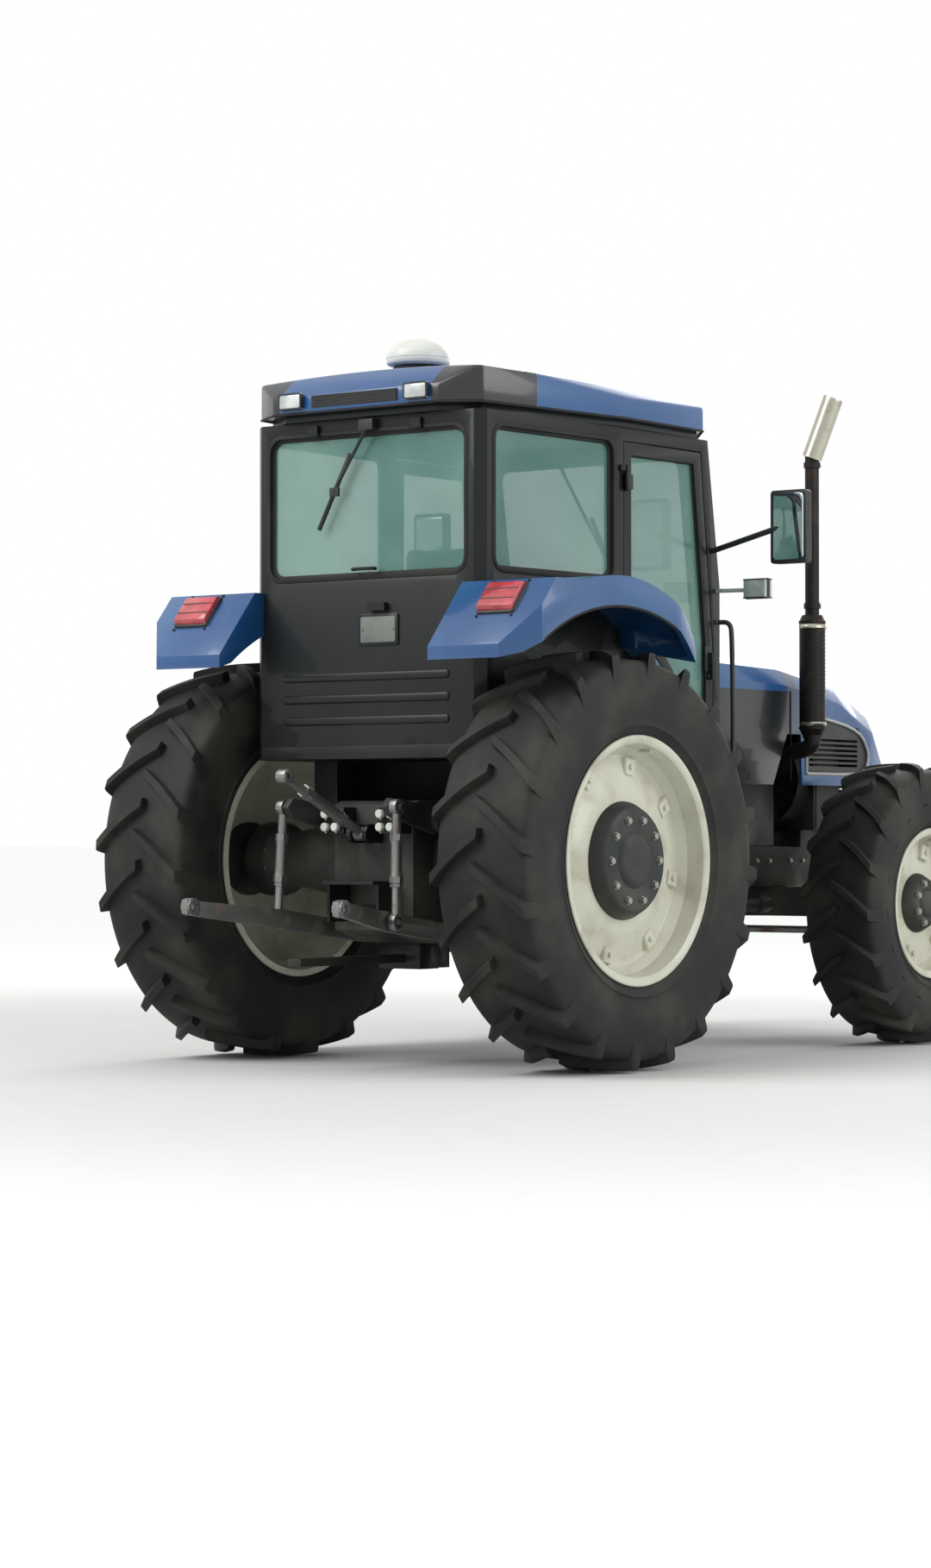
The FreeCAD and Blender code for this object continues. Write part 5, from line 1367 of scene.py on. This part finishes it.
# %% [markdown]
# ## The driver's seat
# A seat pad is foam under cloth: it crowns in the middle, pulls in at its seams and is never flat. The
# sure way to that shape is to let Blender's cloth do it. A rounded block is remeshed into even squares,
# blown up a little from inside with gravity off, and each point's way is capped so that the pad keeps
# its place. Seams come afterwards, since a remesh would wipe them out: channels are pressed in by
# moving points near a line, and a cord of piping is laid on the finished surface.

# %% Blow up a pad
PRESSURE = 4.0
VOXEL = 0.006
CLOTH_FRAMES = 20
CORNER_ROUNDING = 0.03
CHANNEL_DEPTH = 0.009
CHANNEL_REACH = 0.012
CUSHION_CHANNEL_Y = 0.13
BACK_CHANNEL_Y = 0.125
BACK_CHANNEL_Z = 2.2


def plain_mesh(piece):
    """The piece's mesh with its modifiers applied, as a mesh of its own."""
    solved = piece.evaluated_get(bpy.context.evaluated_depsgraph_get())
    return bpy.data.meshes.new_from_object(solved)


def swap_mesh(piece, mesh):
    piece.modifiers.clear()
    piece.data = mesh


def stuffed(name, low, high, cap):
    """A pad between two corners, remeshed and swollen as cloth."""
    pad = add_piece(
        name, lambda shape: block(shape, low, high), seat_fabric, stands_for=["seat"])
    rounding = pad.modifiers.new("rounding", "BEVEL")
    rounding.width = CORNER_ROUNDING
    rounding.segments = 4
    squares = pad.modifiers.new("squares", "REMESH")
    squares.mode = "VOXEL"
    squares.voxel_size = VOXEL
    swap_mesh(pad, plain_mesh(pad))
    start = [vertex.co.copy() for vertex in pad.data.vertices]
    cloth_step = pad.modifiers.new("cloth", "CLOTH")
    cloth_step.settings.use_pressure = True
    cloth_step.settings.uniform_pressure_force = PRESSURE
    cloth_step.settings.effector_weights.gravity = 0
    for number in range(1, CLOTH_FRAMES + 1):
        scene.frame_set(number)
    swap_mesh(pad, plain_mesh(pad))
    for vertex, place in zip(pad.data.vertices, start):
        way = vertex.co - place
        vertex.co = place + way * min(1.0, cap / max(way.length, 0.0001))
    return pad


def press_channels(pad, distance):
    """Pull points in towards the pad's middle near a line, where distance(point) is small."""
    middle = sum((vertex.co for vertex in pad.data.vertices), Vector()) / len(pad.data.vertices)
    for vertex in pad.data.vertices:
        share = math.exp(-(distance(vertex.co) / CHANNEL_REACH) ** 2)
        inward = (middle - vertex.co).normalized()
        vertex.co += inward * CHANNEL_DEPTH * share
    pad.data.shade_smooth()
    smooth = pad.modifiers.new("smooth", "SUBSURF")
    smooth.levels = smooth.render_levels = 1


def piping(name, pad, loop):
    """A cord of piping laid on the pad along a loop of nearby points."""
    lifted = []
    for point in loop:
        _, place, normal, _ = pad.closest_point_on_mesh(point)
        lifted.append(place + normal * 0.001)
    return add_piece(
        name, lambda shape: tube(shape, lifted + lifted[:1], 0.0035, 8), seal_rubber)


cushion = stuffed("seat_cushion", (-1.03, -0.232, 1.708), (-0.578, 0.232, 1.784), 0.014)
backrest = stuffed("seat_backrest", (-1.122, -0.222, 1.79), (-1.03, 0.222, 2.402), 0.016)
press_channels(cushion, lambda p: abs(abs(p.y) - CUSHION_CHANNEL_Y))
press_channels(backrest, lambda p: min(abs(abs(p.y) - BACK_CHANNEL_Y), abs(p.z - BACK_CHANNEL_Z)))
cushion_loop = [Vector((u, v, 1.79)) for u, v, _, _ in rounded_loop(-1.02, -0.585, -0.225, 0.225, 0.05)]
back_loop = [Vector((-1.02, u, v)) for u, v, _, _ in rounded_loop(-0.212, 0.212, 1.8, 2.392, 0.05)]
piping("seat_cushion_piping", cushion, cushion_loop)
piping("seat_backrest_piping", backrest, back_loop)
scene.frame_set(1)
print("pads with", len(cushion.data.vertices), "and", len(backrest.data.vertices), "points")

# %% [markdown]
# Under the pads a moulded pan rests on a rubber bellows, which hides the spring, and the armrest swings
# on the backrest's side. The bellows is a stack of rounded rectangles, wide and narrow by turns.

# %% Pan, bellows and armrest
BELLOWS_FOOT = 1.5
BELLOWS_HEIGHT = 0.176
FOLDS = 14
ARMREST = ((-1.1, 0.235, 2.0), (-1.05, 0.235, 2.0), (-0.78, 0.235, 1.975), (-0.74, 0.235, 1.95))


def seat_frame(shape):
    block(shape, (-1.06, -0.2, 1.676), (-0.62, 0.2, 1.71))
    block(shape, (-1.138, -0.19, 1.77), (-1.118, 0.19, 2.36))
    loop = rounded_loop(-1.05, -0.74, -0.14, 0.14, 0.05)
    folds = [(0.0 if step % 2 else 0.018, BELLOWS_FOOT + BELLOWS_HEIGHT * step / FOLDS)
             for step in range(FOLDS + 1)]
    raised(shape, loop, lambda u, v, w: (u, v, w), folds)
    block(shape, (-1.08, -0.16, 1.46), (-0.71, 0.16, 1.502))
    tube(shape, bend(ARMREST, 5), 0.013)


add_piece("seat_frame", seat_frame, black_plastic, stands_for=["seat"], bevel=0.003)
print("bellows up to", BELLOWS_FOOT + BELLOWS_HEIGHT)

# %% [markdown]
# ## Dash, wheel and console
# The steering wheel is a rim of round section with three spokes on a raked column, in front of a dash
# with a hooded instrument panel. Levers with ball knobs stand on the side console.

# %% Controls
WHEEL_CENTRE = Vector((-0.21, 0, 2.06))
WHEEL_AXIS = Vector((-0.55, 0, 0.835))
WHEEL_RADIUS = 0.2035
CONSOLE_Y = -0.445
RIM_THICKNESS = 0.0145
LEVERS = ((-0.94, -0.03), (-0.86, 0.04), (-0.78, -0.03), (-0.70, 0.04))
DASH_SLOPE = (-0.09, 0, 0.055)
DIALS = (
    # across, radius
    (-0.1, 0.042), (0.0, 0.052), (0.1, 0.042),
)
DASH_OUTLINE = (
    # X, Z
    (-0.03, 1.25), (-0.03, 1.70), (-0.075, 1.76), (-0.02, 1.85), (0.06, 1.868), (0.155, 1.8), (0.16, 1.25),
)


def steering_wheel(shape):
    section = [(RIM_THICKNESS * math.sin(a), WHEEL_RADIUS + RIM_THICKNESS * math.cos(a)) for a in ring_of(12)]
    turned(shape, section, WHEEL_CENTRE, WHEEL_AXIS, 56, looped=True)
    turned(shape, [(-0.03, 0.03), (-0.02, 0.055), (0.004, 0.055), (0.01, 0.045), (0.012, 0.005)],
           WHEEL_CENTRE, WHEEL_AXIS, 32)
    tilt = Vector(UP).rotation_difference(WHEEL_AXIS)
    for a in ring_of(3, 0.25):
        ray = tilt @ Vector((math.cos(a), math.sin(a), 0))
        tube(shape, [WHEEL_CENTRE - WHEEL_AXIS * 0.01, WHEEL_CENTRE + ray * WHEEL_RADIUS], 0.011, 10)
    tube(shape, [WHEEL_CENTRE - WHEEL_AXIS.normalized() * 0.4, WHEEL_CENTRE], 0.03, 20)
    tube(shape, bend([(-0.13, 0.02, 1.93), (-0.14, 0.12, 1.95), (-0.17, 0.17, 2.0)], 5), 0.006, 8)


def dash(shape):
    skin(shape, [[(x, y, z) for x, z in DASH_OUTLINE] for y in (-0.228, 0.228)], capped=True)
    for y in (-0.17, -0.06, 0.1):
        block(shape, (-0.16, y, 1.36), (-0.14, y + 0.07, 1.45))
        tube(shape, [(-0.15, y + 0.035, 1.4), (-0.03, y + 0.035, 1.5)], 0.008, 8)


def console(shape):
    block(shape, (-1.105, CONSOLE_Y - 0.112, 1.46), (-0.995, CONSOLE_Y + 0.112, 1.9))
    block(shape, (-1.11, CONSOLE_Y - 0.072, 1.845), (-0.655, CONSOLE_Y + 0.1, 1.905))
    for x, beside in LEVERS:
        y = CONSOLE_Y + beside
        tube(shape, [(x, y, 1.9), (x + 0.012, y, 1.915)], 0.012, 12)


def knobs(shape):
    for x, beside in LEVERS:
        turned(shape, [(0, 0.004), (0.003, 0.011), (0.012, 0.014), (0.019, 0.009), (0.021, 0.002)],
               (x + 0.012, CONSOLE_Y + beside, 1.908), UP, 20)


def dials(shape):
    out = Vector(DASH_SLOPE).cross(Vector(ACROSS)).normalized()
    for y, radius in DIALS:
        turned(shape, [(0.0, radius), (0.006, radius), (0.007, radius - 0.006), (0.004, radius - 0.007),
                       (0.004, 0.003)], (-0.05, y, 1.805), out, 28)


add_piece("steering_wheel", steering_wheel, black_plastic, stands_for=["controls"])
add_piece("dash_and_pedals", dash, black_plastic, stands_for=["controls"], bevel=0.006)
add_piece("side_console", console, black_plastic, stands_for=["controls"], bevel=0.008)
add_piece("console_knobs", knobs, lamp_amber)
add_piece("dash_dials", dials, white_plastic)
print("steering wheel", round(WHEEL_RADIUS * 2, 3), "m across")

# %% [markdown]
# ## Tanks, steps and mirrors
# The tanks hang in two straps each. The left one has a filler cap on top and the right one a seam with
# its catch. The steps have studs that keep a muddy boot from slipping, and the mirror glass is a thin
# plate on the rear side of each housing.

# %% Tank fittings, step studs, mirror glass
TANK_TOP = 1.13
STRAPS = (
    # side, loop round the tank, places along it
    (1, rounded_loop(0.33, 0.69, 0.64, TANK_TOP, 0.05, 6), (-0.12, 0.27)),
    (-1, rounded_loop(0.33, 0.69, 0.70, TANK_TOP, 0.05, 6), (-0.13, 0.16)),
)
STRAP_SECTION = ((0, -0.002), (0, 0.003), (0.045, 0.003), (0.045, -0.002))
FILLER_CAP = ((-0.005, 0.05), (0.014, 0.05), (0.018, 0.058), (0.046, 0.058), (0.05, 0.052), (0.052, 0.01))
STEPS = (
    # height, depth
    (0.50, 0.11), (0.79, 0.09), (1.06, 0.07),
)
STUD = ((-0.001, 0.008), (0.003, 0.006), (0.004, 0.003))
STUD_PITCH = 0.04
MIRROR_FACE = 0.185


def tank_fittings(shape):
    for side, loop, places in STRAPS:
        for x in places:
            skin(shape, [[(x + dx, side * (u + du * o), v + dv * o) for u, v, du, dv in loop]
                         for dx, o in STRAP_SECTION], looped=True)
    turned(shape, FILLER_CAP, (0.33, 0.6, TANK_TOP), UP, 28)
    block(shape, (-0.05, -0.692, 0.93), (0.14, -0.697, 0.936))
    block(shape, (0.02, -0.69, 0.915), (0.07, -0.702, 0.952))


def studs(shape):
    for _, side in SIDES:
        for z, depth in STEPS:
            for y in (0.72, 0.67 + depth):
                for number in range(9):
                    turned(shape, STUD, (-0.19 + number * STUD_PITCH, side * y, z), UP, 10)


def mirror_glass(shape):
    for _, side in SIDES:
        y0, y1 = sorted((side * 1.0, side * 1.17))
        loop = rounded_loop(y0, y1, 2.368, 2.682, 0.02, 5)
        raised(shape, loop, facing_back(MIRROR_FACE), ((0, -0.001), (0, 0.001), (-0.003, 0.002)))


add_piece("tank_fittings", tank_fittings, black_paint, bevel=0.0008)
add_piece("step_studs", studs, bolt_steel)
add_piece("mirror_glass", mirror_glass, mirror_silver)
print(len(STRAPS), "tanks in straps,", len(STEPS), "steps a side")

# %% [markdown]
# ## Below the hood and the floor
# The engine block in the frame is one plain mass. What one sees of a real one below the hood are the
# parts bolted to its sides: a starter, a filter, a pump with its pipes, ribs on the sump, the guard of
# the shaft that drives the front axle and the ram that steers it. They are turned outlines and short
# pipes, kept inside the space that the front tyres leave at full lock.

# %% Engine side, axle bolts, drive shaft guard and steering ram
STARTER = ((0, 0.03), (0.004, 0.048), (0.13, 0.048), (0.134, 0.036), (0.15, 0.036), (0.152, 0.01))
OIL_FILTER = ((0, 0.02), (0.01, 0.045), (0.15, 0.045), (0.165, 0.03), (0.17, 0.01))
FUEL_PUMP = ((0, 0.05), (0.02, 0.06), (0.1, 0.06), (0.12, 0.045), (0.122, 0.01))
RAM = (
    (0, 0.02), (0.004, 0.029), (0.26, 0.029), (0.264, 0.031), (0.284, 0.031), (0.288, 0.014), (0.37, 0.012),
)
SHAFT_Y = -0.222


def engine_side(shape):
    turned(shape, STARTER, (0.46, -0.305, 0.9), AHEAD, 28)
    turned(shape, OIL_FILTER, (0.62, 0.322, 0.86), UP, 28)
    turned(shape, FUEL_PUMP, (0.40, 0.325, 1.1), AHEAD, 28)
    for number in range(4):
        x = 0.42 + 0.05 * number
        path = [(x, 0.30, 1.15), (x, 0.33, 1.22), (x + 0.05, 0.3, 1.3), (x + 0.05, 0.272, 1.34)]
        tube(shape, bend(path, 5), 0.004, 8)
    for _, side in SIDES:
        for number in range(6):
            x = 0.16 + 0.09 * number
            block(shape, (x, side * 0.184, 0.66), (x + 0.012, side * 0.196, 0.765))
        for number in range(9):
            nut(shape, (0.1 + 0.085 * number, side * 0.262, 0.785), (0, side, 0), 0.009)
        for number in range(5):
            nut(shape, (0.38 + 0.1 * number, side * 0.27, 1.02), (0, side, 0), 0.011)


def axle_bolts(shape):
    for _, side in SIDES:
        for count, radius, across, out, size in (
                (14, 0.232, 0.2652, side, 0.012), (12, 0.163, 0.8475, -side, 0.008)):
            for a in ring_of(count, 0.5):
                spot = REAR_AXLE + Vector((radius * math.cos(a), side * across, radius * math.sin(a)))
                nut(shape, spot, (0, out, 0), size)


def shaft_guard(shape):
    tube(shape, [(-0.2, SHAFT_Y, 0.655), (1.36, SHAFT_Y, 0.70)], 0.033, 24)
    for x, z in ((-0.12, 0.657), (1.24, 0.697)):
        joint_boot = [(0, 0.03), (0.006, 0.046), (0.09, 0.042), (0.1, 0.03)]
        turned(shape, joint_boot, (x, SHAFT_Y, z), (1, 0, 0.03), 24)
    block(shape, (0.5, -0.235, 0.69), (0.54, -0.21, 0.79))


def steering_ram(shape):
    turned(shape, RAM, (1.408, 0.16, 0.745), ACROSS, 28)
    for y in (0.2, 0.4):
        block(shape, (1.4, y, 0.72), (1.45, y + 0.025, 0.77))
        nut(shape, (1.4, y + 0.012, 0.776), UP, 0.008)


add_piece("engine_side_parts", engine_side, cast_iron, bevel=0.0015)
add_piece("axle_bolts", axle_bolts, bolt_steel)
add_piece("drive_shaft_guard", shaft_guard, cast_iron)
add_piece("steering_ram", steering_ram, link_steel)
print("bolts on both axle trumpets")

# %% [markdown]
# ## Rear linkage
# The lower links carry whatever is hung behind the tractor, two rods raise them, and the top link keeps
# the load level. The middles of the rods and of the top link are threaded sleeves that set the length,
# and the shaft that drives an implement has splines. Beside the top link stand eight couplings under
# pale dust caps. Pieces on a moving link ride on that link's body.

# %% Sleeves, splines, couplings
ROD_TOP = (-1.865, 0.33, 1.179)
ROD_FOOT = (-1.885, 0.343, 0.668)
TOP_LINK_FOOT = Vector((-1.705, 0, 1.06))
TOP_LINK_WAY = Vector((-0.9063, 0, 0.4226))
SHAFT_END = Vector((-1.715, 0, 0.72))
SHAFT_LENGTH = 0.0945
SPLINE_RADIUS = 0.0173
SPLINE_DEPTH = 0.0028
COUPLING_SPOTS = [(-1.71, side * y, z) for _, side in SIDES for y in (0.13, 0.19) for z in (1.09, 1.15)]
COUPLING = ((0, 0.017), (0.014, 0.017), (0.016, 0.013), (0.03, 0.013))
CAP = ((0.018, 0.014), (0.018, 0.0195), (0.036, 0.0195), (0.039, 0.016), (0.039, 0.002))


def sleeve(shape, start, way, length, radius):
    """A turnbuckle: hexagon ends, a waisted middle, and a lock nut."""
    turned(shape, [(0, radius), (0.03, radius)], start, way, 6)
    turned(shape, [(0.03, radius * 0.9), (0.05, radius * 0.8), (length - 0.05, radius * 0.8),
                   (length - 0.03, radius * 0.9)], start, way, 28)
    turned(shape, [(length - 0.03, radius), (length, radius)], start, way, 6)
    turned(shape, [(length + 0.004, radius * 0.95), (length + 0.016, radius * 0.95)], start, way, 6)


def rod_sleeves(shape):
    for _, side in SIDES:
        top, foot = (Vector((x, side * y, z)) for x, y, z in (ROD_TOP, ROD_FOOT))
        way = (foot - top).normalized()
        sleeve(shape, top + way * 0.12, way, 0.22, 0.031)


def top_link_sleeve(shape):
    sleeve(shape, TOP_LINK_FOOT + TOP_LINK_WAY * 0.15, TOP_LINK_WAY, 0.29, 0.033)


def splines(shape):
    rings = []
    for along, radius in ((0, 0.015), (0.004, SPLINE_RADIUS), (SHAFT_LENGTH - 0.001, SPLINE_RADIUS)):
        ring = []
        for number, a in enumerate(ring_of(48)):
            r = radius if number % 8 < 4 else radius - SPLINE_DEPTH
            ring.append(SHAFT_END + Vector((along, r * math.cos(a), r * math.sin(a))))
        rings.append(ring)
    skin(shape, rings, capped=True)


def couplings(shape):
    for x, y, z in COUPLING_SPOTS:
        turned(shape, COUPLING, (x, y, z), BEHIND, 20)


def dust_caps(shape):
    for x, y, z in COUPLING_SPOTS:
        turned(shape, CAP, (x, y, z), BEHIND, 20)
        tube(shape, [(x - 0.025, y, z - 0.016), (x - 0.02, y, z - 0.026)], 0.004, 6)


add_piece("lift_rod_sleeves", rod_sleeves, link_steel, "lift_rods")
add_piece("top_link_sleeve", top_link_sleeve, link_steel, "top_link")
add_piece("drive_splines", splines, bolt_steel, "pto_shaft", ["pto_shaft"])
add_piece("couplings", couplings, bolt_steel)
add_piece("dust_caps", dust_caps, white_plastic)
print("sleeves, splines and", len(COUPLING_SPOTS), "couplings")

# %% [markdown]
# ## Under the hood
# With the hood raised one sees the top of the engine. The frame's block stands for its mass; on it sit
# a ribbed head cover with its filler cap, the air cleaner in its cradle, the manifold that feeds the
# exhaust, and ahead of them the fan in its shroud and the cooler's thin fins. Each is a turned outline,
# a short pipe or a block with rounded edges.

# %% Engine top and cooler
HEAD_TOP = 1.56
PORTS = (0.58, 0.80, 1.02, 1.24)
FAN = Vector((1.645, 0, 1.34))
AIR_CLEANER = Vector((0.5, 0.17, 1.70))
CAN = (
    (0, 0.02), (0.004, 0.07), (0.03, 0.084), (0.05, 0.084), (0.055, 0.079), (0.33, 0.079), (0.335, 0.086),
    (0.35, 0.086), (0.36, 0.07), (0.364, 0.02),
)
OIL_CAP = ((0, 0.03), (0.012, 0.03), (0.016, 0.037), (0.03, 0.037), (0.034, 0.01))
INTAKE_PIPE = (
    (0.86, 0.17, 1.70), (0.93, 0.17, 1.70), (1.06, 0.15, 1.70), (1.12, 0.13, 1.62), (1.12, 0.13, HEAD_TOP),
)
WATER_PIPE = ((1.36, -0.03, 1.55), (1.46, -0.03, 1.58), (1.56, 0.05, 1.60), (1.71, 0.1, 1.585))
MANIFOLD_Y = -0.235
SHROUD = ((0.055, 0.255), (0.0, 0.235), (-0.03, 0.232), (-0.03, 0.238), (0.0, 0.241), (0.055, 0.262))
FAN_HUB = ((-0.19, 0.03), (-0.03, 0.03), (-0.028, 0.055), (0.01, 0.055), (0.012, 0.01))
BLADE = (
    # distance from the hub, twist
    (0.045, 0.02), (0.13, 0.014), (0.22, 0.009),
)
FINS = 44
FIN_PITCH = 0.0107
COOLER_CAP = ((0, 0.026), (0.02, 0.026), (0.024, 0.034), (0.04, 0.034), (0.044, 0.012))
TOW_PIN = ((-0.01, 0.016), (0.006, 0.016), (0.008, 0.026), (0.018, 0.026), (0.022, 0.018), (0.023, 0.004))


def head_cover(shape):
    block(shape, (0.46, -0.115, HEAD_TOP), (1.38, 0.075, HEAD_TOP + 0.02))
    block(shape, (0.48, -0.095, HEAD_TOP + 0.02), (1.36, 0.055, HEAD_TOP + 0.085))
    for number in range(8):
        x = 0.53 + 0.11 * number
        block(shape, (x, -0.099, HEAD_TOP + 0.02), (x + 0.014, 0.059, HEAD_TOP + 0.09))
        for y in (-0.106, 0.066):
            nut(shape, (x + 0.05, y, HEAD_TOP + 0.02), UP, 0.008)
    for x in PORTS:
        block(shape, (x - 0.05, -0.19, HEAD_TOP - 0.12), (x + 0.05, -0.18, HEAD_TOP - 0.03))


def engine_caps(shape):
    turned(shape, OIL_CAP, (0.62, -0.02, HEAD_TOP + 0.085), UP, 24)
    turned(shape, CAN, AIR_CLEANER, AHEAD, 36)
    for x in (0.58, 0.78):
        ring = [(x, 0.17 + 0.085 * math.cos(a), 1.70 + 0.085 * math.sin(a)) for a in ring_of(24) + [math.tau]]
        tube(shape, ring, 0.006, 8)
        block(shape, (x - 0.02, 0.11, HEAD_TOP), (x + 0.02, 0.23, 1.63))


def manifold(shape):
    tube(shape, [(PORTS[0] - 0.04, MANIFOLD_Y, 1.49), (PORTS[-1] + 0.08, MANIFOLD_Y, 1.49)], 0.034, 20)
    for x in PORTS:
        tube(shape, bend([(x, -0.18, 1.485), (x, -0.215, 1.485), (x + 0.01, MANIFOLD_Y, 1.49)], 4), 0.024, 16)
    tube(shape, bend(INTAKE_PIPE, 6), 0.032, 18)
    tube(shape, bend(WATER_PIPE, 6), 0.022, 16)


def fan_and_shroud(shape):
    turned(shape, SHROUD, FAN, AHEAD, 48, looped=True)
    turned(shape, FAN_HUB, FAN, AHEAD, 24)
    thick = Vector((0.002, 0, 0))
    for a in ring_of(7):
        ray = Vector((0, math.cos(a), math.sin(a)))
        turn = Vector((0, -math.sin(a), math.cos(a)))
        rings = []
        for reach, twist in BLADE:
            half = turn * 0.028 + Vector((twist, 0, 0))
            spot = FAN + ray * reach - Vector((0.01, 0, 0))
            rings.append([spot + half, spot - half, spot - half + thick, spot + half + thick])
        skin(shape, rings, capped=True)


def cooler(shape):
    for number in range(FINS):
        z = 1.105 + FIN_PITCH * number
        block(shape, (1.9395, -0.25, z), (1.9435, 0.25, z + 0.003))
    for y in (-0.284, 0.259):
        block(shape, (1.72, y, 1.09), (1.945, y + 0.025, 1.598))
    block(shape, (1.715, -0.287, 1.575), (1.947, 0.287, 1.612))
    turned(shape, COOLER_CAP, (1.80, -0.12, 1.61), UP, 24)


def carrier_fittings(shape):
    turned(shape, TOW_PIN, (2.37, 0, 0.96), UP, 24)
    for _, side in SIDES:
        for z in (0.77, 0.9):
            nut(shape, (2.345, side * 0.239, z), (0, side, 0), 0.013)
        for x in (1.3, 1.42, 1.62, 1.74, 1.98, 2.1):
            nut(shape, (x, side * 0.1845, 0.92), (0, side, 0), 0.011)


add_piece("carrier_fittings", carrier_fittings, bolt_steel)
add_piece("head_cover", head_cover, hub_iron, bevel=0.004)
add_piece("air_cleaner_and_caps", engine_caps, black_plastic, bevel=0.002)
add_piece("manifold_and_pipes", manifold, cast_iron)
add_piece("fan_and_shroud", fan_and_shroud, black_plastic)
add_piece("cooler_fins", cooler, black_paint)
print("engine top with", len(PORTS), "ports")
